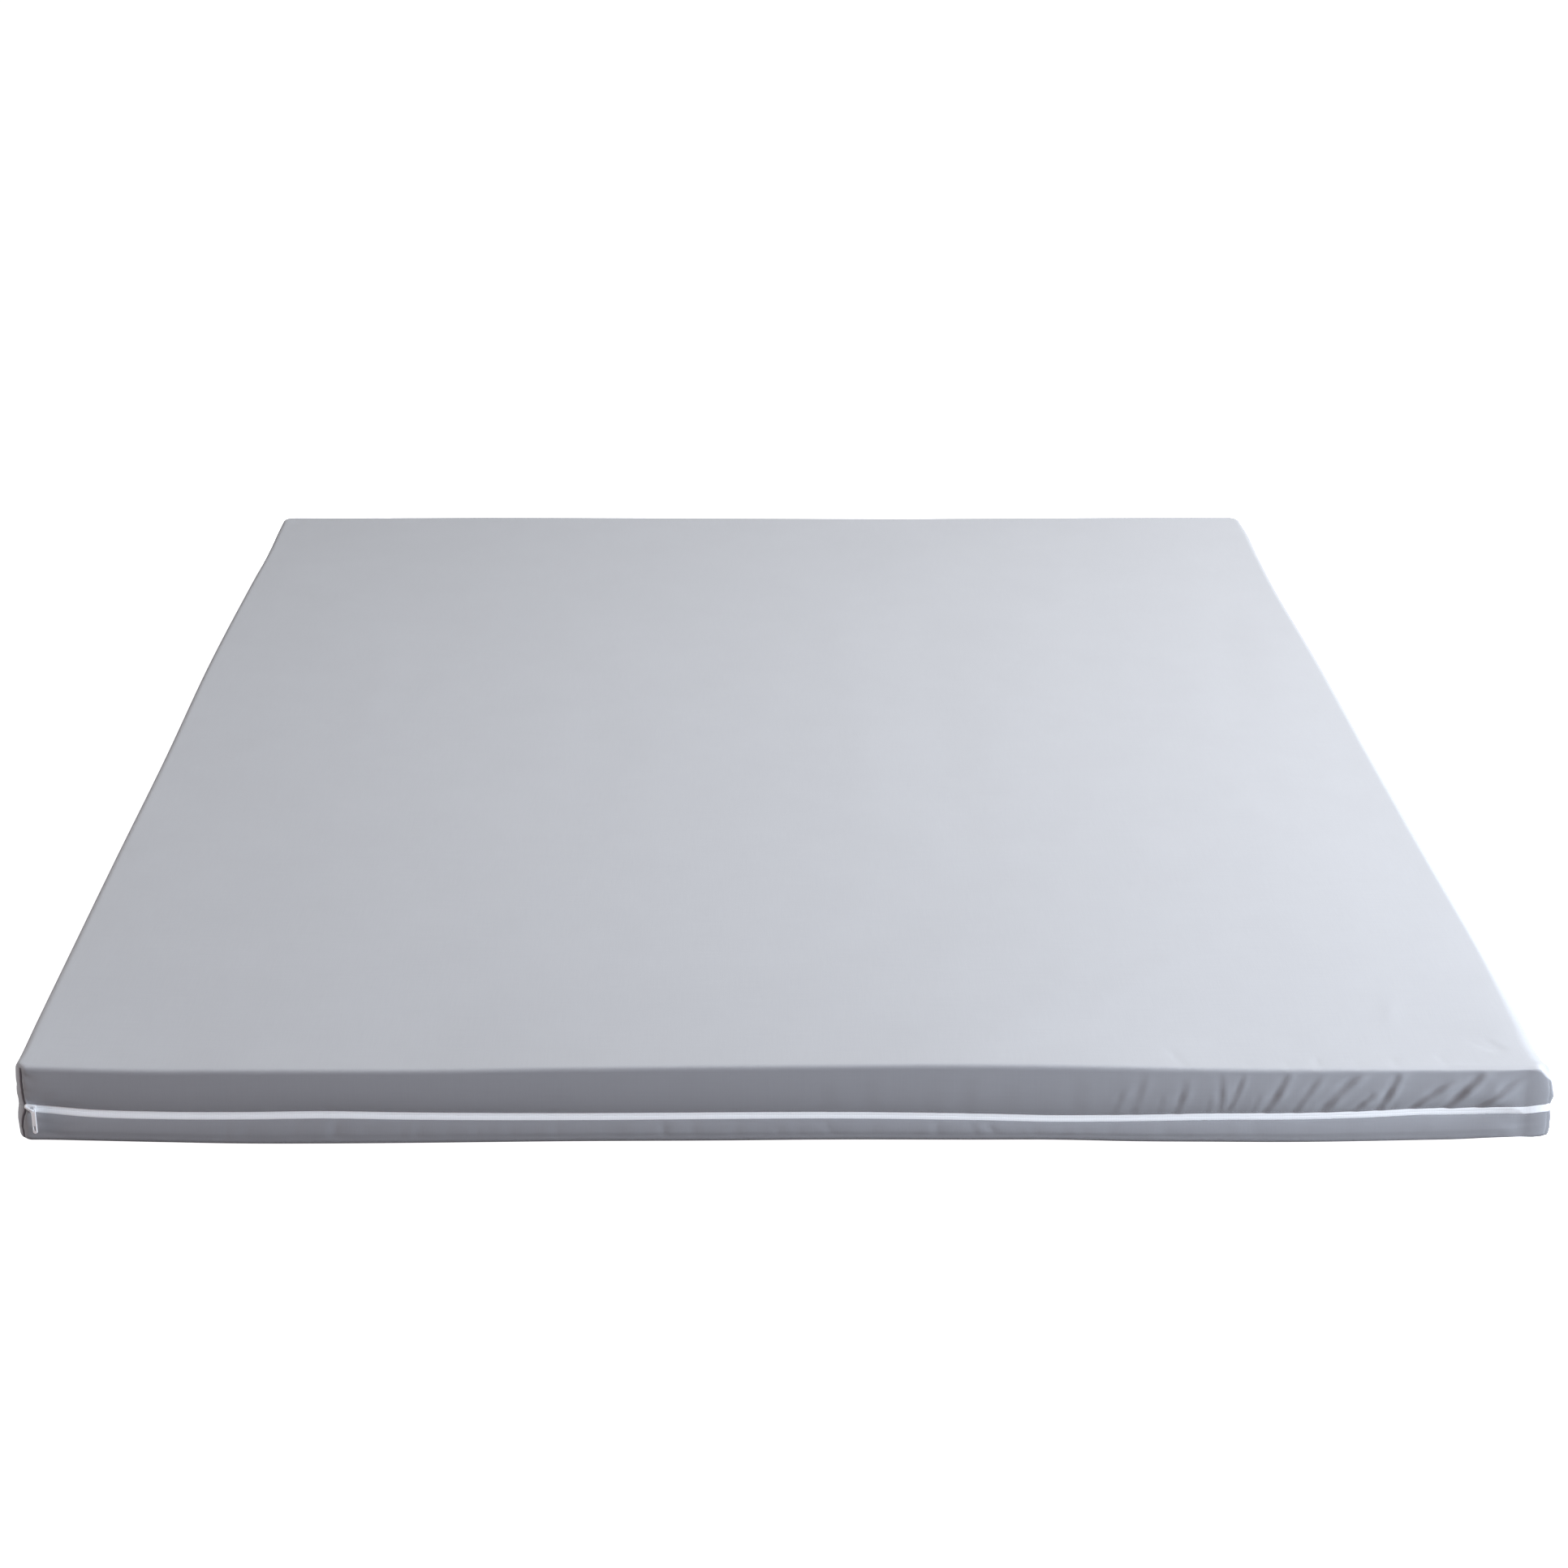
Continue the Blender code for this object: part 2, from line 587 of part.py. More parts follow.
def slider_places():
    """Where the slider and the pull sit, as matrices under the part's empty."""
    _, zip_height, _, out, _, _, waist = section_at("front", SLIDER_ALONG)
    (x, y), turn = outline_point("front", SLIDER_ALONG, out - waist + SLIDER_STAND_OFF)
    on_wall = Matrix.Translation((x, y, zip_height)) @ Matrix.Rotation(turn, 4, "Z")
    slider = on_wall @ Matrix.Rotation(SLIDER_TILT, 4, "Y")
    leg = Vector(((BRIDGE_SPAN - BRIDGE_BAR) / 2, 0.0, 0.0))
    leg.rotate(Matrix.Rotation(SLIDER_TILT, 3, "Y"))
    hang = on_wall @ Matrix.Translation(leg + Vector((0.0, -PULL_STAND_OFF, 0.0)))
    pull = hang @ Matrix.Rotation(PULL_LEAN, 4, "Y") @ Matrix.Rotation(-PULL_KICK, 4, "X")
    return slider, pull


def main():
    for obj in list(bpy.data.objects):
        bpy.data.objects.remove(obj)
    middle = bpy.data.objects.new("mattress_middle", None)
    middle.location = (-BOX_CENTRE[0], -BOX_CENTRE[1], 0.0)
    bpy.context.scene.collection.objects.link(middle)

    cloth = plain_material("grey_blue_cotton", CLOTH_COLOUR, 0.9)
    tape = plain_material("white_zip_tape", TAPE_COLOUR, 0.75)
    paint = plain_material("white_painted_metal", PAINT_COLOUR, 0.35)

    build_mattress(cloth, middle)
    build_tape("zip_tape_upper", CLEARANCE / 2, ZIP_HALF - CLEARANCE, tape, middle)
    build_tape("zip_tape_lower", CLEARANCE - ZIP_HALF, -CLEARANCE / 2, tape, middle)
    slider_place, pull_place = slider_places()
    build_slider(paint, middle, slider_place)
    build_pull(paint, middle, pull_place)


main()
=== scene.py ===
"""The looks of a sofa bed mattress: a foam slab in a grey-blue cotton cover with a white zip.

It lies flat, with its zipped short side to the front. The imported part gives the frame, in
metres, +Z up, with the front edge facing -Y. The script runs from the camera and the lights
to the cover's two shells, the zip, its stitching, its slider and its pull.
"""

import math

import bmesh
import bpy
import numpy as np
from mathutils import Matrix, Vector, noise


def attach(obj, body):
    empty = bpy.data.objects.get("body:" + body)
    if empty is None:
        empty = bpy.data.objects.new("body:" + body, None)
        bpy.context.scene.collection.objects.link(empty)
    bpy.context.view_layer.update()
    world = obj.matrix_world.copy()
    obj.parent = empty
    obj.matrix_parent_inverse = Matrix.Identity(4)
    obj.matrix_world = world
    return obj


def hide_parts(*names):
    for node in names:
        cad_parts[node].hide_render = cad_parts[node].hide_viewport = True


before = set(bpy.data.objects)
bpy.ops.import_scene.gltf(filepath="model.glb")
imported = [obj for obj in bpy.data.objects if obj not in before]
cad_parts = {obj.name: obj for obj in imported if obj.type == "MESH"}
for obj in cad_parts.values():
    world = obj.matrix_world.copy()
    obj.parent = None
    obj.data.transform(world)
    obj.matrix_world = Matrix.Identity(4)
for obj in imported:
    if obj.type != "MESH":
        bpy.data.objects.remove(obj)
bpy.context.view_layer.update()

# ----------------------------------------
# Camera: a long lens, a little above the near short side and close to its middle line.
# The view is framed off centre, which the sideways shift gives.
# ----------------------------------------
CAMERA_PLACE = (-0.0456, -3.8481, 1.3325)
CAMERA_DIP = 18.9635
LENS_MM = 77.87
SIDE_SHIFT = 0.0336

camera_data = bpy.data.cameras.new("camera")
camera_data.lens = LENS_MM
camera_data.sensor_width = 36.0
camera_data.shift_x = SIDE_SHIFT
camera_data.clip_end = 60.0
camera = bpy.data.objects.new("camera", camera_data)
camera.location = CAMERA_PLACE
camera.rotation_euler = (math.radians(90 - CAMERA_DIP), 0.0, 0.0)
bpy.context.scene.collection.objects.link(camera)
bpy.context.scene.camera = camera
bpy.context.scene.view_settings.view_transform = "Standard"

# ----------------------------------------
# Studio light: a large soft box high on the right that makes the top brighter that way, low
# ones beyond each end of the front edge, and weak ones high on the left, behind, and in
# front, where a warm one evens out the cool low one on the right.
# ----------------------------------------
SOFT_BOXES = (
    # name, place, aimed at, width, depth, watts, colour
    ("high_right_box", (2.8, 0.4, 3.0), (0.2, 0.0, 0.0), 2.4, 2.6, 350, (1.00, 1.00, 1.00)),
    ("high_left_box", (-3.4, 0.3, 2.2), (0.0, 0.0, 0.0), 2.4, 2.6, 13, (1.00, 0.98, 1.02)),
    ("side_left_box", (-3.4, -1.08, 0.5), (-0.6, -0.8, 0.0), 1.2, 0.6, 37, (1.00, 0.97, 0.97)),
    ("low_left_box", (-3.0, -1.9, 0.5), (-0.6, -0.8, 0.0), 1.0, 0.5, 22, (1.00, 0.88, 0.84)),
    ("low_right_box", (3.0, -2.2, 0.8), (0.3, -1.0, 0.0), 1.6, 1.0, 160, (0.93, 1.03, 1.13)),
    ("front_box", (1.8, -4.6, 0.9), (0.3, -1.0, 0.0), 2.4, 1.2, 22, (1.00, 0.62, 0.66)),
    ("back_box", (0.0, 4.6, 0.7), (0.0, 1.0, 0.0), 3.0, 0.8, 25, (1.00, 1.00, 1.00)),
)
FILL = (1.00, 1.00, 1.00)
FILL_STRENGTH = 0.03

for name, place, target, width, depth, watts, colour in SOFT_BOXES:
    light_data = bpy.data.lights.new(name, "AREA")
    light_data.shape = "RECTANGLE"
    light_data.size = width
    light_data.size_y = depth
    light_data.energy = watts
    light_data.color = colour
    light = bpy.data.objects.new(name, light_data)
    light.location = place
    light.rotation_euler = (Vector(target) - Vector(place)).to_track_quat("-Z", "Y").to_euler()
    bpy.context.scene.collection.objects.link(light)

world = bpy.data.worlds.new("studio")
bpy.context.scene.world = world
world.use_nodes = True
fill = world.node_tree.nodes["Background"]
fill.inputs["Color"].default_value = (*FILL, 1.0)
fill.inputs["Strength"].default_value = FILL_STRENGTH

# ----------------------------------------
# Floor: a white sweep, lit so evenly that it shows no shadow.
# ----------------------------------------
FLOOR_HALF = 14.0


def mesh_from(name, build):
    """The bmesh as a new smooth-shaded mesh. The bmesh is freed."""
    mesh = bpy.data.meshes.new(name)
    build.to_mesh(mesh)
    build.free()
    mesh.shade_smooth()
    return mesh


floor_build = bmesh.new()
bmesh.ops.create_grid(floor_build, x_segments=1, y_segments=1, size=FLOOR_HALF)
floor_mesh = mesh_from("floor", floor_build)
floor = bpy.data.objects.new("floor", floor_mesh)
bpy.context.scene.collection.objects.link(floor)
floor_finish = bpy.data.materials.new("lit_white_floor")
floor_finish.use_nodes = True
floor_shader = floor_finish.node_tree.nodes["Principled BSDF"]
floor_shader.inputs["Base Color"].default_value = (0.9, 0.9, 0.9, 1.0)
floor_shader.inputs["Roughness"].default_value = 1.0
floor_shader.inputs["Emission Color"].default_value = (1.0, 1.0, 1.0, 1.0)
floor_shader.inputs["Emission Strength"].default_value = 1.0
floor_mesh.materials.append(floor_finish)
floor.visible_diffuse = False
floor.visible_glossy = False

# ----------------------------------------
# Form of the cover. The foam slab fills it, so its outline is a plain rectangle with small
# bulges, and its walls have a fold at the top, a waist where the two shells meet at the
# zip or the closing seam, and a fold at the foot.
# ----------------------------------------
MM = 0.001
WIDTH = 1.400
LENGTH = 2.000
HALF_WIDTH = WIDTH / 2
HALF_LENGTH = LENGTH / 2
CORNER_RADIUS = 0.013
# The bulges differ from side to side, so the plain rectangle lies a little off the origin.
OFF_MIDDLE = (-0.0026, 0.0001)
FLAT_TOP = 0.0815
ZIP_HALF = 0.0036
SEAM_HALF = 0.00015
# Where the shells part for the zip at its first end, and close again at its last.
ZIP_OPENS = (0.001 - HALF_WIDTH, 0.010 - HALF_WIDTH)
ZIP_CLOSES = (HALF_LENGTH - 0.006, HALF_LENGTH)

# Each edge in walking order, seen from above: its direction, the way out, its length
# and how far it lies from the middle.
EDGES = {
    "front": ((1, 0), (0, -1), WIDTH, HALF_LENGTH),
    "right": ((0, 1), (1, 0), LENGTH, HALF_WIDTH),
    "back": ((-1, 0), (0, 1), WIDTH, HALF_LENGTH),
    "left": ((0, -1), (-1, 0), LENGTH, HALF_WIDTH),
}
START = {"front": 0.0, "right": WIDTH, "back": WIDTH + LENGTH, "left": 2 * WIDTH + LENGTH}
AROUND = 2 * (WIDTH + LENGTH)

# One row for each wall section, in millimetres. "along" runs from the edge's middle in
# walking order. "top" is the height of the upper fold, "zip" that of the zip or seam,
# "foot" that of the lower fold's underside, "out" the outline's bulge past the plain
# rectangle, "puff" how far the upper wall bulges past that, "fold" the radius of the
# upper fold, and "waist" how far the wall is drawn in at the zip.
SECTIONS = (
    # edge, along, top, zip, foot, out, puff, fold, waist
    ("front", -700, 80.6, 40.5, 4.8, 0.0, 0.5, 5, 0.3),
    ("front", -670, 79.4, 37.3, 4.8, 0.0, 1.5, 5, 2.0),
    ("front", -640, 78.4, 34.2, 4.1, 0.0, 1.2, 5, 2.0),
    ("front", -566, 76.8, 31.3, 2.4, 0.0, 1.2, 5, 2.0),
    ("front", -491, 76.8, 30.9, 1.0, 0.0, 1.4, 5, 2.2),
    ("front", -417, 76.8, 31.7, 1.0, 0.0, 1.6, 5, 2.4),
    ("front", -342, 76.8, 30.5, 1.6, 0.0, 1.6, 5, 2.4),
    ("front", -193, 79.2, 29.7, 3.3, 0.0, 1.6, 5, 2.4),
    ("front", -44, 80.8, 30.5, 4.1, 0.0, 1.6, 5, 2.4),
    ("front", 31, 81.6, 30.9, 4.9, 0.0, 1.6, 5, 2.4),
    ("front", 180, 82.4, 29.3, 4.9, 0.0, 1.6, 5, 2.4),
    ("front", 255, 81.6, 27.6, 4.9, 0.0, 1.6, 5, 2.4),
    ("front", 329, 80.0, 28.0, 3.3, 0.0, 1.6, 5, 2.4),
    ("front", 404, 78.4, 29.3, 2.8, 0.0, 1.6, 5, 2.4),
    ("front", 478, 77.6, 29.7, 2.4, 0.0, 1.6, 5, 2.4),
    ("front", 553, 77.8, 32.1, 3.3, 0.0, 1.6, 5, 2.4),
    ("front", 590, 78.0, 34.2, 4.1, 0.0, 1.6, 5, 2.4),
    ("front", 627, 78.4, 35.0, 5.4, 0.8, 1.8, 5, 2.4),
    ("front", 655, 79.0, 36.6, 7.4, 2.0, 2.2, 5, 2.0),
    ("front", 672, 79.4, 37.4, 8.6, 3.2, 2.4, 5, 1.5),
    ("front", 686, 79.6, 38.0, 9.6, 4.9, 2.4, 5.5, 0.8),
    ("right", -1000, 79.6, 40.6, 10.8, 13.8, 2.0, 7, 0.2),
    ("right", -985, 79.7, 39.0, 8.6, 6.4, 4.0, 8, 0.6),
    ("right", -965, 80.0, 36.6, 6.0, 4.2, 4.0, 8, 1.5),
    ("right", -900, 80.5, 33.5, 4.0, 4.8, 3.5, 8, 2.6),
    ("right", -725, 81.0, 31.5, 2.0, 5.4, 3.0, 8, 2.6),
    ("right", -446, 80.8, 30.5, 1.0, 3.8, 3.0, 8, 2.6),
    ("right", -120, 81.5, 31.5, 2.0, 2.9, 2.5, 8, 2.6),
    ("right", 267, 82.5, 30.0, 1.5, 3.1, 3.0, 8, 2.6),
    ("right", 649, 82.0, 31.0, 1.0, 0.6, 2.5, 8, 2.6),
    ("right", 820, 82.0, 30.0, 2.0, 3.0, 2.0, 8, 2.6),
    ("right", 920, 81.5, 30.5, 3.0, 5.6, 1.5, 8, 2.6),
    ("back", -700, 82.2, 31.5, 4.0, 3.0, 2.0, 7, 0.3),
    ("back", -620, 82.8, 31.0, 3.0, 2.0, 2.5, 8, 2.6),
    ("back", -433, 81.9, 30.0, 1.0, 2.0, 2.5, 8, 2.6),
    ("back", -194, 80.7, 30.5, 1.5, 2.0, 2.0, 8, 2.6),
    ("back", 44, 81.4, 29.5, 2.5, 2.0, 2.5, 8, 2.6),
    ("back", 403, 82.4, 30.5, 1.0, 2.0, 2.5, 8, 2.6),
    ("back", 620, 81.8, 31.0, 2.5, 2.0, 2.5, 8, 2.6),
    ("left", -1000, 81.8, 32.0, 4.0, 1.2, 2.0, 7, 0.3),
    ("left", -940, 81.4, 31.5, 3.0, 1.8, 2.0, 8, 2.6),
    ("left", -820, 81.6, 31.0, 1.5, 0.8, 2.5, 8, 2.6),
    ("left", -649, 82.0, 30.0, 1.0, 3.0, 2.5, 8, 2.6),
    ("left", -267, 82.2, 31.0, 1.5, 6.0, 2.0, 8, 2.6),
    ("left", 120, 80.5, 31.5, 2.0, 3.5, 2.5, 8, 2.6),
    ("left", 446, 80.7, 30.5, 1.0, 3.1, 2.5, 8, 2.6),
    ("left", 725, 81.0, 32.0, 2.5, 1.8, 2.5, 8, 2.6),
    ("left", 900, 80.5, 34.5, 4.0, 1.2, 2.0, 8, 2.6),
    ("left", 970, 80.6, 36.5, 4.6, 0.6, 0.8, 8, 2.0),
)


def closed_table():
    """The sections keyed by distance around, with two rows repeated past each end."""
    keys = [START[row[0]] + EDGES[row[0]][2] / 2 + row[1] * MM for row in SECTIONS]
    values = [[value * MM for value in row[2:]] for row in SECTIONS]
    before = [key - AROUND for key in keys[-2:]]
    after = [key + AROUND for key in keys[:2]]
    return np.array(before + keys + after), np.array(values[-2:] + values + values[:2])


KEYS, VALUES = closed_table()
SLOPES = np.gradient(VALUES, KEYS, axis=0)


def sections_at(edge, along):
    """The sections' seven values at each place along an edge, from smooth curves."""
    key = START[edge] + EDGES[edge][2] / 2 + np.atleast_1d(along)
    row = np.searchsorted(KEYS, key, side="right") - 1
    span = (KEYS[row + 1] - KEYS[row])[:, None]
    t = (key - KEYS[row])[:, None] / span
    rise = t * t * (3 - 2 * t)
    level = (1 - rise) * VALUES[row] + rise * VALUES[row + 1]
    slope = span * t * (1 - t) * ((1 - t) * SLOPES[row] - t * SLOPES[row + 1])
    return (level + slope).T


def outline(edge, along):
    """The plain outline's points and the ways out there, as two arrays of (x, y)."""
    direction, outward, length, reach = (np.array(part) for part in EDGES[edge])
    along = np.atleast_1d(along)[:, None]
    straight = length / 2 - CORNER_RADIUS
    past = np.clip(np.abs(along) - straight, 0, None)
    turn = np.sign(along) * past / CORNER_RADIUS * math.pi / 4
    way_out = direction * np.sin(turn) + outward * np.cos(turn)
    kept = np.clip(along, -straight, straight)
    centre = direction * kept + outward * (reach - CORNER_RADIUS)
    return centre + way_out * CORNER_RADIUS, way_out


def smooth_step(value, low, high):
    """0 up to the low value, 1 from the high one on, and a soft S between them."""
    t = np.clip((value - low) / (high - low), 0.0, 1.0)
    return t * t * (3 - 2 * t)


# The front-right corner is drawn out to the right only: past this reach its front is
# flattened, from nothing to a full share between two places across.
FLAT_CORNER_REACH = 0.0018
FLAT_CORNER_SHARE = 0.8
FLAT_CORNER = (0.650, 0.685)


def flattened(x, y):
    """The places with the front-right corner's front kept nearly flat."""
    past_flat = np.clip(-y - HALF_LENGTH - FLAT_CORNER_REACH, 0.0, None)
    return y + FLAT_CORNER_SHARE * smooth_step(x, *FLAT_CORNER) * past_flat


# The same corner's top is rounded off in the front's own plane: how far it is lowered at
# each place across, in millimetres, which fades towards the zip and away from the front.
CORNER_DROP = ((694, 0), (697, 0.6), (700, 3.0), (703, 6.0), (707, 9.0), (709, 13), (711, 18))
DROP_HEIGHTS = (0.046, 0.080)
DROP_BACK = (0.988, 0.999)


def corner_drop(x, y, height):
    """How far a point of the upper shell is lowered at the front-right corner."""
    across, lowered = zip(*CORNER_DROP)
    near_front = smooth_step(-y, *DROP_BACK)
    return np.interp(x / MM, across, lowered) * MM * smooth_step(height, *DROP_HEIGHTS) * near_front


def stood_off(base, way_out, distance):
    """The places this far out from the plain outline, as an array of (x, y)."""
    places_out = base + way_out * np.asarray(distance)[:, None]
    places_out[:, 1] = flattened(places_out[:, 0], places_out[:, 1])
    return places_out


# ----------------------------------------
# Creases. The cover is a little short along its zip, so the front's upper wall is gathered
# into slanting pull creases and the lower wall into small upright puckers, and each corner
# seam draws short tucks towards it.
# ----------------------------------------
# The pull creases, in millimetres: each runs from the zip up to a place nearer the fold,
# which it reaches at a share "from" of the wall's height. It is a trough on its left
# rising to a crest on its right.
PULL_CREASES = (
    # at zip, at top, from, bow, depth, half width
    (-681, -664, 0.60, 0, 0.34, 4.0),
    (47, 47, 0.30, 0, 0.29, 7.0),
    (88, 86, 0.30, 0, 0.34, 6.0),
    (140, 148, 0.10, 0, 0.23, 6.0),
    (176, 178, 0.20, 0, 0.46, 6.0),
    (210, 218, 0.30, 0, 0.29, 5.0),
    (275, 278, 0.20, 0, 0.46, 6.0),
    (309, 318, 0.35, 0, 0.29, 4.0),
    (327, 337, 0.05, 0, 0.34, 5.0),
    (351, 353, 0.50, 0, 0.20, 3.0),
    (366, 374, 0.25, 1, 0.59, 4.5),
    (395, 397, 0.55, 0, 0.26, 2.5),
    (408, 407, 0.05, 0, 0.52, 3.6),
    (413, 427, 0.00, 1, 0.52, 3.2),
    (437, 442, 0.50, 0, 0.33, 2.6),
    (448, 467, 0.00, 1, 0.81, 4.4),
    (475, 499, 0.00, -1, 0.55, 4.2),
    (487, 490, 0.80, 0, 0.26, 2.0),
    (501, 534, 0.00, -3, 0.91, 5.2),
    (529, 546, 0.55, 0, 0.91, 3.4),
    (552, 569, 0.00, 1, 0.98, 4.4),
    (565, 569, 0.75, 0, 0.26, 1.8),
    (583, 616, 0.25, -2, 1.04, 4.2),
    (614, 645, 0.00, 0, 1.37, 5.0),
    (632, 655, 0.45, 2, 0.45, 3.5),
    (643, 684, 0.00, 3, 1.62, 5.6),
)
# The height over which a crease slants, the factor that makes its depth the height of its
# crest, how far its beginning is spread out, and how its strength comes and goes.
WALL_RISE = 0.036
SWING = math.sqrt(2 * math.e)
CREASE_SPREAD = 0.2
UNEVEN_SHARE = 0.3
UNEVEN_TURNS = 11

# The puckers of the front's lower wall: place, depth, half width and how far each leans to
# the right on its way up, in millimetres.
PUCKERS = (
    # along, depth, half width, lean
    (-508, 0.35, 4.0, 6),
    (-489, 0.45, 4.5, 8),
    (-444, 0.40, 5.0, 4),
    (-408, 0.75, 4.0, 5),
    (-381, 0.30, 4.0, -3),
    (-347, 0.35, 5.0, 6),
    (-331, 0.80, 4.2, 7),
    (-303, 0.30, 5.0, 0),
    (-277, 0.45, 3.6, 2),
    (-265, 0.40, 3.6, -2),
    (-246, 0.35, 4.0, 0),
    (-204, 0.45, 4.5, 2),
    (-160, 0.40, 4.5, 0),
    (-106, 0.75, 3.6, -2),
    (-78, 0.45, 3.6, 0),
    (-38, 0.40, 4.5, 3),
    (-1, 0.40, 4.0, -5),
    (18, 0.30, 3.5, -4),
    (46, 0.65, 4.5, -6),
    (87, 0.40, 4.5, 0),
    (146, 0.65, 4.0, -1),
    (179, 0.50, 3.4, -6),
    (196, 0.70, 4.0, -8),
    (221, 0.35, 3.6, -5),
    (234, 0.40, 4.2, -5),
    (280, 0.45, 4.5, 0),
    (305, 0.35, 4.5, 3),
    (356, 0.35, 5.0, 0),
    (439, 0.30, 5.0, 0),
)
# Between the creases the cloth is slightly slack: seed, height in millimetres, then the
# places along where the slack begins and is full. Its waves a metre, and how they lean.
UPPER_SLACK = (1.0, 0.16, 60, 480)
LOWER_SLACK = (5.0, 0.30, -560, -420)
SLACK_SPOTS = (75.0, 16.0)
SLACK_LEAN = 0.3

# Where along its run a tuck begins, is full, wanes and is gone, as shares of the run.
TUCK_FADES = (-0.15, 0.1, 0.4, 1.1)
# Short tucks beside the corner seams: the edge, their two ends as (along, height), depth
# and half width, all in millimetres.
TUCKS = (
    # edge, along, height, along, height, depth, half width
    ("front", -698, 73, -680, 69, 0.9, 1.6),
    ("front", -694, 70, -678, 63, 0.6, 3.0),
    ("front", -694, 47, -676, 42, 0.6, 3.0),
    ("front", -696, 57, -682, 54, 0.4, 2.5),
    ("front", -697, 19, -682, 17, 0.7, 2.5),
    ("front", -672, 16, -632, 27.5, 1.0, 3.0),
    ("front", -694, 26, -656, 24, 0.5, 2.5),
    ("front", -690, 12, -656, 17, 0.5, 3.0),
    ("front", 660, 11, 698, 16, 0.9, 4.0),
    ("front", 668, 24, 698, 27, 0.7, 3.0),
    ("front", 678, 23, 700, 30, 2.0, 1.6),
    ("front", 680, 42.5, 699, 45, 0.7, 1.0),
    ("front", 676, 19, 699, 20, 0.7, 2.5),
    ("front", 668, 43, 698, 45, 0.4, 2.5),
    ("right", -998, 44, -950, 47, 0.9, 4.0),
    ("right", -998, 62, -960, 52, 0.8, 5.0),
    ("right", -998, 25, -955, 20, 0.8, 4.0),
    ("left", 996, 58, 972, 62, 0.6, 3.0),
    ("left", 997, 44, 965, 46, 0.6, 3.0),
    ("left", 996, 20, 960, 15, 0.6, 3.5),
    ("right", 996, 55, 970, 60, 0.7, 3.5),
    ("right", 996, 21, 966, 16, 0.6, 3.5),
    ("back", -696, 50, -668, 58, 0.7, 3.5),
    ("back", -695, 20, -662, 14, 0.6, 3.5),
    ("back", 696, 52, 664, 60, 0.7, 3.5),
    ("back", 696, 20, 668, 15, 0.6, 3.5),
    ("left", -996, 54, -968, 60, 0.7, 3.5),
    ("left", -996, 22, -960, 17, 0.6, 3.5),
)


def pull_crease_height(along, t):
    """How far the pull creases move a point outward at a share t down the upper wall."""
    total = np.zeros_like(along)
    for zip_end, top_end, start, bow, depth, half_width in PULL_CREASES:
        down = np.clip((t - start) / (1 - start), 0.0, 1.0)
        centre = top_end + (zip_end - top_end) * down + 4 * bow * down * (1 - down)
        rise = WALL_RISE * (1 - start)
        slant = math.hypot((top_end - zip_end) * MM, rise) / rise
        across = (along - centre * MM) / slant / (half_width * MM)
        fade = smooth_step(t, start - CREASE_SPREAD, start + CREASE_SPREAD)
        uneven = 1 + UNEVEN_SHARE * np.sin(UNEVEN_TURNS * down + 0.3 * zip_end)
        total += fade * uneven * depth * MM * SWING * across * np.exp(-across * across)
    return total


def pucker_height(along, t):
    """How far the puckers move a point of the front's lower wall outward, at a share t up it."""
    total = np.zeros_like(along)
    for centre, depth, half_width, lean in PUCKERS:
        across = (along - (centre + lean * (t - 0.5)) * MM) / (half_width * MM)
        total -= depth * MM * np.exp(-across * across)
    return total


def soft_waves(x, y, per_x, per_y, seed):
    """Smooth noise from -1 to 1 with so many waves a metre each way."""
    return np.array([noise.noise(Vector((px * per_x, py * per_y, seed))) for px, py in zip(x, y)])


def slack_height(along, height, seed, amount, begins, full):
    """Small soft waves of the front's slack cloth, longer up the wall than along it."""
    waves = soft_waves(along - SLACK_LEAN * height, height, *SLACK_SPOTS, seed)
    return waves * amount * MM * smooth_step(along / MM, begins, full)


def trough(x, y, ends, depth, half_width, fades):
    """The depth of a soft trough between two ends, which fades in and out along its run."""
    x1, y1, x2, y2 = (value * MM for value in ends)
    run = (x2 - x1, y2 - y1)
    reach = math.hypot(*run)
    forward = ((x - x1) * run[0] + (y - y1) * run[1]) / reach
    across = ((x - x1) * run[1] - (y - y1) * run[0]) / reach
    begins, full, wanes, gone = (share * reach for share in fades)
    fade = smooth_step(forward, begins, full) * (1 - smooth_step(forward, wanes, gone))
    return fade * depth * MM * np.exp(-((across / (half_width * MM)) ** 2))


def tuck_height(edge, along, height):
    """How far the corner tucks move a wall's points outward: each is a short soft trough."""
    total = np.zeros_like(along)
    for on_edge, *ends, depth, half_width in TUCKS:
        if on_edge != edge:
            continue
        total -= trough(along, height, ends, depth, half_width, TUCK_FADES)
    return total


# The front-left corner seam wanders sideways as it goes down: height and shift.
SEAM_WANDER = ((0, 2), (20, 2), (26, 3), (31, 5), (36, 7.4), (42, 7.4), (48, 5.8), (54, 5.2),
               (64, 4.3), (72, 4.2), (77, 3.6), (80, 0.8))
WANDER_REACH = 0.0085
CORNER_SEAM_HALF = 0.0010
# How deep the seam draws the cloth in at each corner, keyed by an edge and which end.
DEEPEST_SEAM = 0.0030
CORNER_SEAM_DEPTHS = {
    ("front", False): DEEPEST_SEAM, ("left", True): DEEPEST_SEAM,
    ("front", True): 0.0010, ("right", False): 0.0010,
    ("right", True): 0.0018, ("back", False): 0.0018,
    ("back", True): 0.0018, ("left", False): 0.0018,
}
# The small gathers beside a seam, whose spacing varies on its way down.
GATHER_PITCH = 0.0068
GATHER_SHIFT = 1.3
GATHER_SHIFT_TURNS = 210.0
GATHER_DEPTH = 0.00028
GATHER_REACH = 0.0050
SEAM_RIPPLE = 0.2


def corner_nearness(edge, along, reach):
    """1 on a corner seam, falling to 0 over this reach beside it."""
    beside = EDGES[edge][2] / 2 - np.abs(along)
    return np.exp(-((beside / reach) ** 2))


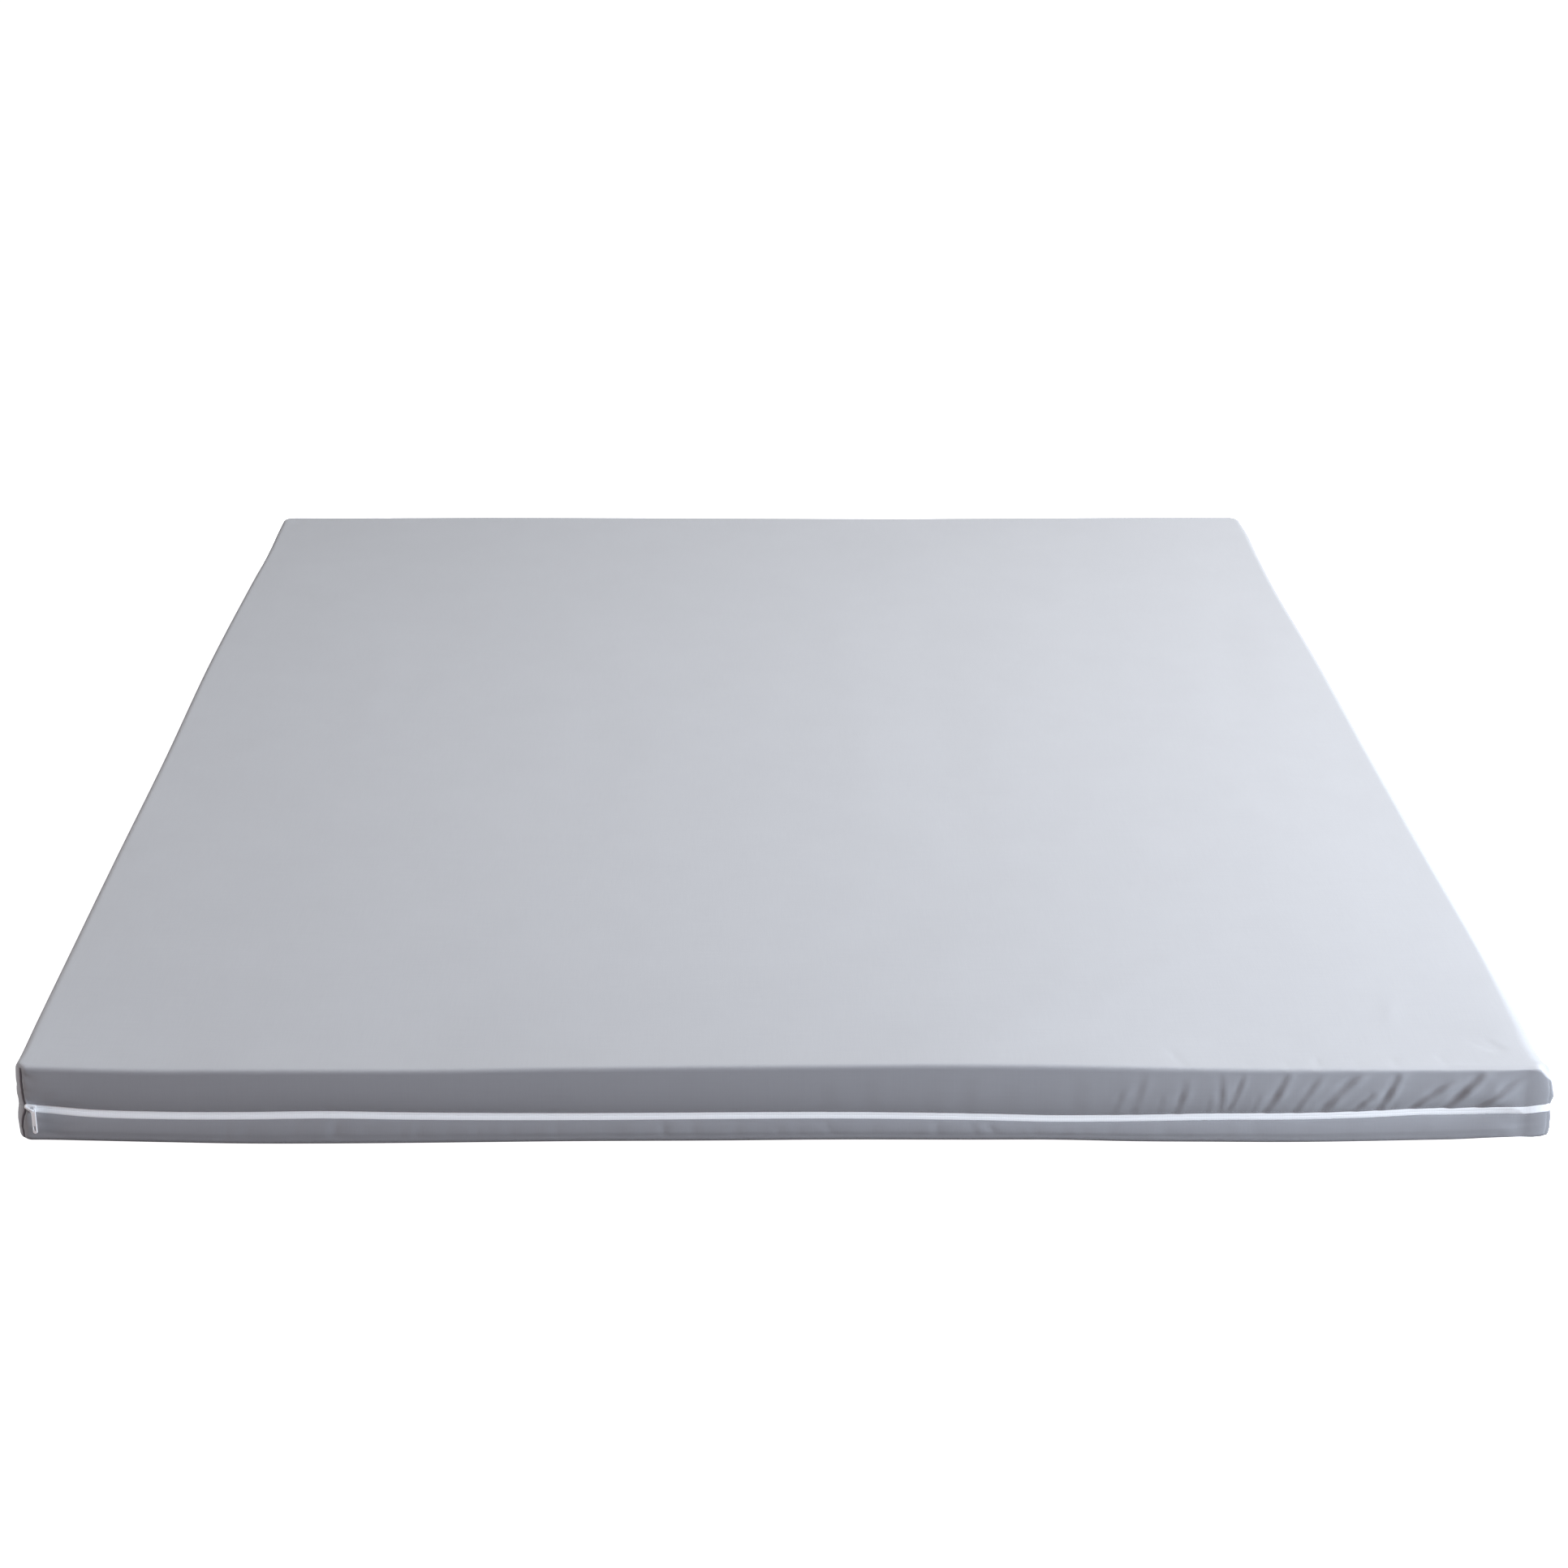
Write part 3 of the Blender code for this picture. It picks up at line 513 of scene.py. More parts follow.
def seam_depth(edge, along, height):
    """How far a corner seam draws the wall in: a narrow groove with small gathers beside it."""
    depth = np.where(along > 0, CORNER_SEAM_DEPTHS[edge, True], CORNER_SEAM_DEPTHS[edge, False])
    shift = GATHER_SHIFT * np.sin(height * GATHER_SHIFT_TURNS)
    ripple = np.sin(height * (2 * math.pi / GATHER_PITCH) + shift)
    gathers = GATHER_DEPTH * (depth / DEEPEST_SEAM) * (1 + ripple)
    return (depth * (1 + SEAM_RIPPLE * ripple) * corner_nearness(edge, along, CORNER_SEAM_HALF)
            + gathers * corner_nearness(edge, along, GATHER_REACH))


def seam_shift(edge, along, height):
    """The sideways wander of the front-left corner seam at this height."""
    heights, shifts = zip(*SEAM_WANDER)
    at_corner = (along < 0) if edge == "front" else (along > 0)
    shift = np.interp(height / MM, heights, shifts) * MM * at_corner
    return shift * corner_nearness(edge, along, WANDER_REACH) * (edge in ("front", "left"))


def opening_half(edge, along):
    """Half the height between the two shells: the zip's band, or the closed seam."""
    if edge == "front":
        zipped = smooth_step(along, *ZIP_OPENS)
    elif edge == "right":
        zipped = 1 - smooth_step(along, *ZIP_CLOSES)
    else:
        zipped = np.zeros_like(along)
    return SEAM_HALF + (ZIP_HALF - SEAM_HALF) * zipped


# ----------------------------------------
# Cover: two shells of plain-woven cotton over the foam. Each is one panel whose four walls
# are folded over and sewn up at the corners, and whose hem is turned in at the zip. The
# upper shell reaches down to the zip, and the lower one up to it.
# ----------------------------------------
# How far in from the edges the sections' heights and bulges fade out over the panels.
CROWN_REACH = (0.020, 0.320)
HEEL_REACH = (0.006, 0.080)
BULGE_REACH = (0.0, 0.300)
FOOT_FOLD = 0.0068
LEAST_FOLD = 0.0045
LOWER_PUFF = 0.0012
LOWER_PUFF_SPAN = 1.6
LOWER_PUFF_BEGINS = (0, 0.3)
PINCH = 0.0008
PINCH_REACH = 0.005
# How sharply the walls turn in at the waist, how much less the seams, creases and tucks
# show there, and where they fade in below the fold.
UPPER_WAIST_POWER = 6
LOWER_WAIST_POWER = 5
HELD_FLAT = 0.7
CREASE_HELD_FLAT = 0.6
SEAM_BEGINS = (0.0, 0.2)
CREASE_BEGINS = (0.03, 0.2)
TUCK_BEGINS = (0.05, 0.2)
# Where the mesh's lines cross a wall, as shares of its height from the fold to the hem.
UPPER_SHARES = (0.04, 0.08, 0.12, 0.16, 0.20, 0.25, 0.30, 0.35, 0.40, 0.45, 0.50, 0.55, 0.60,
                0.65, 0.70, 0.75, 0.80, 0.85, 0.90, 0.94, 0.97, 0.99, 1.0)
LOWER_SHARES = (0.06, 0.12, 0.18, 0.25, 0.33, 0.41, 0.49, 0.57, 0.65, 0.73, 0.80, 0.87, 0.93,
                0.97, 1.0)
# The turned hem, in millimetres: how far in, and how far back towards the fold.
HEM = ((0.22, -0.16), (0.52, -0.12), (0.72, 0.35), (0.72, 2.6))
# Where the mesh's lines cross the panel, as (end, spacing) in metres from the first place.
UPPER_COLUMNS = ((-0.695, 0.00045), (-0.680, 0.0015), (-0.620, 0.0040), (0.290, 0.0080),
                 (0.684, 0.0028), (0.695, 0.0013), (0.700, 0.0006))
UPPER_ROWS = ((-0.995, 0.00045), (-0.984, 0.0013), (-0.940, 0.0032), (-0.800, 0.0080),
              (0.900, 0.0150), (0.984, 0.0060), (0.995, 0.0016), (1.000, 0.0008))
LOWER_COLUMNS = ((-0.695, 0.00045), (-0.680, 0.0015), (-0.520, 0.0060), (0.460, 0.0035),
                 (0.640, 0.0060), (0.684, 0.0030), (0.695, 0.0013), (0.700, 0.0006))
LOWER_ROWS = ((-0.995, 0.00045), (-0.984, 0.0013), (-0.940, 0.0040), (0.960, 0.0200),
              (0.984, 0.0040), (0.995, 0.0016), (1.000, 0.0008))


def places(first, runs):
    """Evenly spaced places over each run in turn, from the first place to the last end."""
    found = [first]
    for end, spacing in runs:
        count = max(1, round((end - found[-1]) / spacing))
        found += list(np.linspace(found[-1], end, count + 1)[1:])
    return np.array(found)


def blended(by_edge, x, y, reach):
    """Values given along the four edges, carried smoothly over the panel between them."""
    near_x = 1 - smooth_step(HALF_WIDTH - np.abs(x), *reach)
    near_y = 1 - smooth_step(HALF_LENGTH - np.abs(y), *reach)
    sides = np.where(x > 0, by_edge("right", y), by_edge("left", -y))
    ends = np.where(y > 0, by_edge("back", -x), by_edge("front", x))
    corner_y = np.copysign(HALF_LENGTH, y)
    corners = np.where(x > 0, by_edge("right", corner_y), by_edge("left", -corner_y))
    return sides * near_x + ends * near_y - corners * near_x * near_y


def bulge(edge, along):
    """How far the outline bulges past the plain one along an edge, as its x and y parts."""
    return (outline(edge, along)[1] * sections_at(edge, along)[3][:, None]).T


def panel_points(x, y, upper):
    """Where the panel's points lie, from their places on the flat cloth."""
    inset_x, inset_y = HALF_WIDTH - np.abs(x), HALF_LENGTH - np.abs(y)
    inset = np.minimum(inset_x, inset_y)
    beside_x = inset_x < inset_y
    ahead_x = np.clip(CORNER_RADIUS - inset_x, 0, None)
    ahead_y = np.clip(CORNER_RADIUS - inset_y, 0, None)
    more = np.maximum(np.maximum(ahead_x, ahead_y), 1e-9)
    turn = np.minimum(ahead_x, ahead_y) / more * math.pi / 4
    turn = np.where(beside_x, turn, math.pi / 2 - turn)
    way_x, way_y = np.sign(x) * np.cos(turn), np.sign(y) * np.sin(turn)

    fold = blended(lambda edge, along: sections_at(edge, along)[5], x, y, BULGE_REACH)
    drop_fold = np.maximum(fold, LEAST_FOLD) if upper else np.full_like(x, FOOT_FOLD)
    plan_fold = np.minimum(drop_fold, CORNER_RADIUS)
    lean = np.arctan2(1.0, np.clip(1 - inset / plan_fold, 0, 1))
    pulled_in = plan_fold * (1 - np.cos(lean)) - np.minimum(inset, plan_fold)
    in_square = (ahead_x > 0) & (ahead_y > 0)
    from_centre = np.clip(CORNER_RADIUS - inset - pulled_in, 0, None)
    flat_x = np.where(in_square, np.sign(x) * (HALF_WIDTH - CORNER_RADIUS) + way_x * from_centre,
                      x - way_x * pulled_in)
    flat_y = np.where(in_square, np.sign(y) * (HALF_LENGTH - CORNER_RADIUS) + way_y * from_centre,
                      y - way_y * pulled_in)
    for axis, flat in enumerate((flat_x, flat_y)):
        flat += blended(lambda edge, along: bulge(edge, along)[axis], x, y, BULGE_REACH)
    flat_y = flattened(flat_x, flat_y)
    drop = drop_fold * (1 - np.sin(lean))
    pinch = PINCH * np.exp(-(inset_x**2 + inset_y**2) / PINCH_REACH**2)
    if upper:
        rise = blended(lambda edge, along: sections_at(edge, along)[0] - FLAT_TOP, x, y, CROWN_REACH)
        height = FLAT_TOP + rise - drop - pinch
    else:
        rise = blended(lambda edge, along: np.clip(sections_at(edge, along)[2], 0, None),
                       x, y, HEEL_REACH)
        height = rise + drop + pinch
    return flat_x, flat_y, height


def wall_points(edge, along, share, upper):
    """Where a wall's points lie, at shares of the way from the fold to the hem."""
    top, zip_height, foot, out, puff, fold, waist = sections_at(edge, along)
    half = opening_half(edge, along)
    step = np.clip(share - 1, 0, None)
    share = np.minimum(share, 1.0)
    if upper:
        fold = np.maximum(fold, LEAST_FOLD)
        edge_height, lip = top, zip_height + half
        away = 1.0
    else:
        fold = np.full_like(top, FOOT_FOLD)
        edge_height, lip = np.clip(foot, 0, None), zip_height - half
        away = -1.0
    depth = share * np.abs(edge_height - lip)
    lean = np.arctan2(np.clip(1 - depth / fold, 0, 1), 1.0)
    plan_fold = np.minimum(fold, CORNER_RADIUS)
    below = np.where(depth < fold, fold * (1 - np.sin(lean)), depth)
    height = edge_height - away * below
    t = np.clip((depth - fold) / (np.abs(edge_height - lip) - fold), 0, 1)
    seam = seam_depth(edge, along, height) * smooth_step(share, *SEAM_BEGINS)
    at_waist = t**UPPER_WAIST_POWER
    offset = out - plan_fold * (1 - np.cos(lean)) - seam * (1 - HELD_FLAT * at_waist)
    if upper:
        offset += puff * np.sin(math.pi * t) - waist * at_waist
        if edge == "front":
            begins = (1 - CREASE_HELD_FLAT * at_waist) * smooth_step(share, *CREASE_BEGINS)
            offset += pull_crease_height(along, t) * begins
            offset += slack_height(along, height, *UPPER_SLACK)
    else:
        arch = np.sin(math.pi * (1 - t) / LOWER_PUFF_SPAN)
        low_puff = LOWER_PUFF * arch * smooth_step(t, *LOWER_PUFF_BEGINS)
        offset += low_puff - waist * t**LOWER_WAIST_POWER
        if edge == "front":
            between = np.sin(math.pi * t) ** 0.5
            offset += pucker_height(along, t) * between
            offset += slack_height(along, height, *LOWER_SLACK) * between
    tucks = tuck_height(edge, along, height) * smooth_step(share, *TUCK_BEGINS)
    offset += tucks * (1 - HELD_FLAT * at_waist)
    hem_in, hem_back = (np.interp(step, range(len(HEM) + 1), (0.0, *values)) * MM
                        for values in zip(*HEM))
    height = height + away * hem_back
    base, way_out = outline(edge, along + seam_shift(edge, along, height))
    points = stood_off(base, way_out, offset - hem_in)
    return points[:, 0], points[:, 1], height


def cover_shell(name, columns, rows, shares, upper):
    """One shell: a grid cut to a cross, its arms folded into walls and joined at corners."""
    arm = len(shares) + len(HEM)
    across, back = len(columns) - 1, len(rows) - 1
    build = bmesh.new()
    build.loops.layers.uv.new("cloth")
    steps_x, steps_y = across + 2 * arm, back + 2 * arm
    bmesh.ops.create_grid(build, x_segments=steps_x, y_segments=steps_y, size=0.5, calc_uvs=True)
    column = np.array([round((v.co.x + 0.5) * steps_x) for v in build.verts]) - arm
    row = np.array([round((v.co.y + 0.5) * steps_y) for v in build.verts]) - arm
    past_x = np.maximum(-column, column - across)
    past_y = np.maximum(-row, row - back)
    x = columns[np.clip(column, 0, across)]
    y = rows[np.clip(row, 0, back)]
    place = np.zeros((len(x), 3))
    reach = np.array([0.0, *shares, *(1.0 + i + 1 for i in range(len(HEM)))])
    on_panel = (past_x <= 0) & (past_y <= 0)
    place[on_panel] = np.stack(panel_points(x[on_panel], y[on_panel], upper), 1)
    for edge, chosen, along, past in (
        ("front", (row < 0) & (past_x <= 0), x, past_y),
        ("back", (row > back) & (past_x <= 0), -x, past_y),
        ("left", (column < 0) & (past_y <= 0), -y, past_x),
        ("right", (column > across) & (past_y <= 0), y, past_x),
    ):
        share = reach[past[chosen]]
        place[chosen] = np.stack(wall_points(edge, along[chosen], share, upper), 1)
    if upper:
        place[:, 2] -= corner_drop(*place.T)
    place[:, :2] += OFF_MIDDLE
    if upper:
        place[on_panel, 2] += panel_relief(x[on_panel], y[on_panel])
    for vert, point in zip(build.verts, place):
        vert.co = point
    spare = [v for v, cut in zip(build.verts, (past_x > 0) & (past_y > 0)) if cut]
    bmesh.ops.delete(build, geom=spare, context="VERTS")
    bmesh.ops.remove_doubles(build, verts=build.verts, dist=1e-5)
    if not upper:
        bmesh.ops.reverse_faces(build, faces=build.faces)
    mesh = mesh_from(name, build)
    lengths_x = cloth_lengths(columns, shares)
    lengths_y = cloth_lengths(rows, shares)
    cloth = mesh.uv_layers["cloth"].uv
    flat = np.zeros(2 * len(cloth), dtype=np.float32)
    cloth.foreach_get("vector", flat)
    flat = flat.reshape(-1, 2)
    laid = np.stack([np.interp(flat[:, 0] * steps_x, range(len(lengths_x)), lengths_x),
                     np.interp(flat[:, 1] * steps_y, range(len(lengths_y)), lengths_y)], 1)
    cloth.foreach_set("vector", laid.astype(np.float32).ravel())
    return mesh


# A wall's height on the flat cloth, and the hem's width from one of its lines to the next.
FLAT_WALL = 0.046
FLAT_HEM_STEP = 0.001


def cloth_lengths(across, shares):
    """Distances over the flat cloth at each of the grid's lines, walls and hems included."""
    wall = [share * FLAT_WALL for share in shares]
    wall += [FLAT_WALL + FLAT_HEM_STEP * (i + 1) for i in range(len(HEM))]
    low = [across[0] - length for length in reversed(wall)]
    high = [across[-1] + length for length in wall]
    return np.array([*low, *across, *high])


# The panel's own relief: soft rolls and dents where the foam has been folded and the cloth
# lies slack, then the small creases near the front fold.
ROLLS = (
    # x, y, turn in degrees, half length, half width, height in millimetres
    (0.00, -0.440, 0, 0.70, 0.022, 0.55),
    (-0.62, -0.430, 8, 0.08, 0.020, 0.50),
    (0.20, -0.430, -3, 0.12, 0.030, 0.35),
    (0.05, 0.130, 0, 0.60, 0.030, 0.20),
    (0.40, 0.135, 1, 0.14, 0.014, 0.25),
    (0.00, -0.165, 0, 0.55, 0.028, 0.18),
    (0.00, 0.760, 0, 0.70, 0.045, 0.30),
    (0.11, 0.030, 90, 0.45, 0.035, 0.35),
    (0.21, 0.000, 90, 0.45, 0.030, -0.35),
    (0.59, 0.250, 84, 0.30, 0.030, -0.45),
    (-0.20, -0.050, 92, 0.25, 0.035, -0.25),
    (-0.48, 0.150, 88, 0.22, 0.020, 0.30),
    (-0.60, -0.080, 60, 0.05, 0.020, 0.45),
    (0.44, 0.530, 4, 0.05, 0.010, 0.35),
    (0.36, -0.780, 50, 0.10, 0.022, 0.40),
    (0.25, -0.860, 60, 0.14, 0.030, 0.30),
    (0.65, -0.630, 4, 0.05, 0.006, -0.25),
)
# Creases that run over the front fold onto the panel, and the pinches at the far corner.
PANEL_CREASES = (
    # x, y, x, y, depth, half width, all in millimetres
    (362, -955, 373, -1002, 0.35, 5),
    (467, -983, 468, -1002, 0.45, 4),
    (497, -977, 495, -1002, 0.45, 4),
    (430, -985, 433, -1002, 0.30, 4),
    (531, -982, 533, -1002, 0.30, 4),
    (569, -978, 566, -1002, 0.35, 4),
    (614, -975, 612, -1002, 0.35, 4),
    (662, -939, 675, -964, 0.45, 5),
    (651, -945, 669, -968, 0.35, 5),
    (580, -900, 587, -850, -0.35, 8),
    (-685, 975, -668, 967, 0.9, 5),
    (-697, 936, -680, 928, 0.8, 5),
    (-508, 975, -492, 983, 0.8, 6),
    (-552, 985, -548, 1000, 0.5, 5),
    (-640, 980, -632, 1000, 0.6, 6),
)
PANEL_CREASE_FADES = (-0.4, 0.4, 0.9, 1.3)
# The panel's slack, as waves of two sizes: height, waves a metre each way and seed.
PANEL_SLACK = ((0.00035, 7.0, 4.0, 3.0), (0.00012, 26.0, 17.0, 9.0))
# The share of the relief that is left at the panel's edge, and where it is all there.
EDGE_SHARE = 0.35
RELIEF_INSET = 0.03


def panel_relief(x, y):
    """Heights added to the upper panel, fading out towards its folds where they must."""
    total = np.zeros_like(x)
    for middle_x, middle_y, turn, half_length, half_width, height in ROLLS:
        way = np.array([math.cos(math.radians(turn)), math.sin(math.radians(turn))])
        forward = (x - middle_x) * way[0] + (y - middle_y) * way[1]
        across = (y - middle_y) * way[0] - (x - middle_x) * way[1]
        total += height * MM * np.exp(-((forward / half_length) ** 4) - (across / half_width) ** 2)
    for *ends, depth, half_width in PANEL_CREASES:
        total -= trough(x, y, ends, depth, half_width, PANEL_CREASE_FADES)
    for height, per_x, per_y, seed in PANEL_SLACK:
        total += height * soft_waves(x, y, per_x, per_y, seed)
    inset = np.minimum(HALF_WIDTH - np.abs(x), HALF_LENGTH - np.abs(y))
    return total * (EDGE_SHARE + (1 - EDGE_SHARE) * smooth_step(inset, 0.0, RELIEF_INSET))


def place_piece(name, mesh, body="root"):
    """An object at the origin with its place in its mesh, riding on the part's body."""
    piece = bpy.data.objects.new(name, mesh)
    bpy.context.scene.collection.objects.link(piece)
    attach(piece, body)
    return piece


shells = []
for name, columns, rows, shares, upper in (
    ("cover_upper", UPPER_COLUMNS, UPPER_ROWS, UPPER_SHARES, True),
    ("cover_lower", LOWER_COLUMNS, LOWER_ROWS, LOWER_SHARES, False),
):
    columns = places(-HALF_WIDTH, columns)
    rows = places(-HALF_LENGTH, rows)
    shell = place_piece(name, cover_shell(name, columns, rows, shares, upper))
    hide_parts("mattress")
    shells.append(shell)


class Wire:
    """A value in a material. Arithmetic on it adds Math nodes, and add() any other node."""

    def __init__(self, tree, socket=None):
        self.tree = tree
        self.socket = socket

    def add(self, kind, settings, inputs, output=0):
        node = self.tree.nodes.new(kind)
        for name, value in settings.items():
            setattr(node, name, value)
        for name, value in inputs.items():
            self.feed(node.inputs[name], value)
        return Wire(self.tree, node.outputs[output])

    def feed(self, target, value):
        if isinstance(value, Wire):
            self.tree.links.new(value.socket, target)
        else:
            target.default_value = value

    def math(self, operation, first, second=0.0):
        return self.add("ShaderNodeMath", {"operation": operation}, {0: first, 1: second})

    def __add__(self, other):
        return self.math("ADD", self, other)

    def __sub__(self, other):
        return self.math("SUBTRACT", self, other)

    def __mul__(self, other):
        return self.math("MULTIPLY", self, other)

    def __rsub__(self, other):
        return self.math("SUBTRACT", other, self)

    __radd__ = __add__
    __rmul__ = __mul__

    def sine(self):
        return self.math("SINE", self)

    def clamped(self):
        return self.add("ShaderNodeClamp", {}, {"Value": self})

    def scaled(self, x, y):
        """The same place on the cloth, with each axis stretched."""
        return self.add("ShaderNodeVectorMath", {"operation": "MULTIPLY"}, {0: self, 1: (x, y, 1.0)})

    def mottling(self, x, y, detail):
        """Noise from 0 to 1 with so many spots a metre each way."""
        inputs = {"Vector": self.scaled(x, y), "Scale": 1.0, "Detail": detail}
        return self.add("ShaderNodeTexNoise", {}, inputs)

    def between(self, first, second):
        """A colour between two others, from this value."""
        inputs = {0: self, 6: first, 7: second}
        return self.add("ShaderNodeMix", {"data_type": "RGBA"}, inputs, output=2)

    def bump(self, shader, strength, distance):
        """Feeds the shader's normal with this height as relief."""
        inputs = {"Height": self, "Strength": strength, "Distance": distance}
        self.feed(shader.inputs["Normal"], self.add("ShaderNodeBump", {}, inputs))

    def plain_weave(self, pitch):
        """Over and under threads, from 0 in the gaps to 1 on a thread's back."""
        turns = self.scaled(math.pi / pitch, math.pi / pitch)
        split = self.add("ShaderNodeSeparateXYZ", {}, {0: turns})
        along = split.sine()
        across = Wire(self.tree, split.socket.node.outputs[1]).sine()
        over = (along * across * 3.0 + 0.5).clamped()
        return along * along * over + across * across * (1 - over)


def finish_for(name, roughness, sheen):
    """A new material, its shader, and a wire that adds nodes to its tree."""
    material = bpy.data.materials.new(name)
    material.use_nodes = True
    shader = material.node_tree.nodes["Principled BSDF"]
    shader.inputs["Roughness"].default_value = roughness
    shader.inputs["Sheen Weight"].default_value = sheen
    shader.inputs["Sheen Roughness"].default_value = 0.6
    shader.inputs["Specular IOR Level"].default_value = 0.3
    return material, shader, Wire(material.node_tree)


CLOTH_DARK = (0.282, 0.290, 0.312, 1.0)
CLOTH_LIGHT = (0.322, 0.331, 0.356, 1.0)
THREAD_PITCH = 0.00055
# Spots a metre: the uneven yarns, long and thin, and the cloudiness of the dye.
YARN_SPOTS = (22.0, 900.0)
CLOUD_SPOTS = 9.0
RELIEF_DEPTH = 0.0001

cloth_finish, cloth_shader, wire = finish_for("grey_blue_cotton", 0.9, 0.08)
cloth_place = wire.add("ShaderNodeUVMap", {"uv_map": "cloth"}, {})
weave = cloth_place.plain_weave(THREAD_PITCH)
long_yarns = cloth_place.mottling(YARN_SPOTS[0], YARN_SPOTS[1], 2.0)
cross_yarns = cloth_place.mottling(YARN_SPOTS[1], YARN_SPOTS[0], 2.0)
clouds = cloth_place.mottling(CLOUD_SPOTS, CLOUD_SPOTS, 3.0)
yarns = (long_yarns + cross_yarns) * 0.5
tone = (0.20 * weave + 0.85 * yarns + 0.35 * clouds - 0.20).clamped()
wire.feed(cloth_shader.inputs["Base Color"], tone.between(CLOTH_DARK, CLOTH_LIGHT))
(weave * 0.7 + yarns * 0.6).bump(cloth_shader, 0.5, RELIEF_DEPTH)
for shell in shells:
    shell.data.materials.append(cloth_finish)

# ----------------------------------------
# Zip tapes: two woven white strips sewn behind the hems. Their rolled edges meet over the
# hidden coil, from the front-left corner along the front and then the right side.
# ----------------------------------------
ZIP_FIRST = -0.6905
ZIP_LAST = HALF_LENGTH - 0.0055
TAPE_THICKNESS = 0.00045
# Across a tape, in millimetres: how far from the zip's middle and how far behind the hem.
TAPE_SECTION = ((0.05, 1.60), (0.10, 1.20), (0.30, 0.92), (0.60, 0.85), (1.60, 0.85), (2.80, 0.90),
                (3.60, 1.15), (4.80, 1.80), (7.50, 2.90), (11.0, 3.80))
# The zip is rolled a little upward towards its left end, which tips its upper tape back.
TAPE_TIP = ((-0.70, 0.50), (-0.30, 0.42), (0.10, 0.15), (0.35, -0.02), (0.60, -0.14), (0.69, -0.22))
# Where the zip turns round the corner it stands a little prouder: reach and how far.
PROUD_REACH = 0.022
PROUD = 0.0005
TAPE_RIB = 0.00075
# Where the mesh's lines cross the zip, close together round the corner: (end, spacing).
FRONT_ZIP = ((HALF_WIDTH - 0.03, 0.0040), (HALF_WIDTH - 0.013, 0.0020), (HALF_WIDTH, 0.0009))
RIGHT_ZIP = ((0.013 - HALF_LENGTH, 0.0009), (0.04 - HALF_LENGTH, 0.0030), (ZIP_LAST, 0.0080))
ZIP_LINES = (("front", places(ZIP_FIRST, FRONT_ZIP)),
             ("right", places(-HALF_LENGTH, RIGHT_ZIP)[1:]))


def zip_tape(name, side):
    """One tape: a strip laid along the zip's line, above it or below it, given thickness."""
    count = sum(len(line) for _, line in ZIP_LINES)
    runs = []
    for edge, line in ZIP_LINES:
        _, zip_height, _, out, _, _, waist = sections_at(edge, line)
        points, ways = outline(edge, line)
        beside = EDGES[edge][2] / 2 - np.abs(line)
        at_corner = line > 0 if edge == "front" else line < 0
        proud = PROUD * np.exp(-((beside / PROUD_REACH) ** 2)) * at_corner
        across = line if edge == "front" else np.full(len(line), HALF_WIDTH)
        tip = np.interp(across, *zip(*TAPE_TIP))
        runs.append((points, ways, zip_height, out - waist + proud, tip))
    base, way_out, height, shown, tip = (np.concatenate(part) for part in zip(*runs))
    build = bmesh.new()
    build.loops.layers.uv.new("cloth")
    rows = len(TAPE_SECTION)
    bmesh.ops.create_grid(build, x_segments=count - 1, y_segments=rows - 1, size=0.5, calc_uvs=True)
    lengths = np.concatenate([[0.0], np.cumsum(np.hypot(*np.diff(base, axis=0).T))])
    station = np.array([round((vert.co.x + 0.5) * (count - 1)) for vert in build.verts])
    place = [round((vert.co.y + 0.5) * (rows - 1)) for vert in build.verts]
    away, behind = np.array(TAPE_SECTION)[place].T * MM
    tipped = tip[station] * side * np.minimum(away, ZIP_HALF)
    spots = stood_off(base[station], way_out[station], shown[station] - behind - tipped) + OFF_MIDDLE
    for vert, spot, high in zip(build.verts, spots, height[station] + side * away):
        vert.co = (*spot, high)
    cloth_map = build.loops.layers.uv["cloth"]
    across = [away * MM for away, _ in TAPE_SECTION]
    for face in build.faces:
        for loop in face.loops:
            u, v = loop[cloth_map].uv
            down = across[round(v * (rows - 1))]
            loop[cloth_map].uv = (lengths[round(u * (count - 1))], side * down)
    if side < 0:
        bmesh.ops.reverse_faces(build, faces=build.faces)
    bmesh.ops.solidify(build, geom=build.faces[:], thickness=TAPE_THICKNESS)
    return mesh_from(name, build), lengths[-1]


TAPE_DARK = (0.86, 0.89, 0.92, 1.0)
TAPE_LIGHT = (0.93, 0.96, 0.98, 1.0)
FIBRE_SPOTS = (400.0, 2400.0)
SMUDGE_SPOTS = 12.0

tape_finish, tape_shader, wire = finish_for("white_zip_tape", 0.7, 0.1)
tape_place = wire.add("ShaderNodeUVMap", {"uv_map": "cloth"}, {})
ribs = (0.5 + 0.5 * tape_place.scaled(2 * math.pi / TAPE_RIB, 0.0).sine()).clamped()
fibres = tape_place.mottling(*FIBRE_SPOTS, 2.0)
smudges = tape_place.mottling(SMUDGE_SPOTS, SMUDGE_SPOTS, 2.0)
whiteness = (0.35 * ribs + 0.4 * fibres + 0.3 * smudges).clamped()
wire.feed(tape_shader.inputs["Base Color"], whiteness.between(TAPE_DARK, TAPE_LIGHT))
(ribs * 0.8 + fibres * 0.4).bump(tape_shader, 0.3, RELIEF_DEPTH)
for name, side, node in (("tape_upper", 1, "zip_tape_upper"), ("tape_lower", -1, "zip_tape_lower")):
    tape_mesh, tape_length = zip_tape(name, side)
    tape = place_piece(name, tape_mesh)
    tape_mesh.materials.append(tape_finish)
    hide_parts(node)

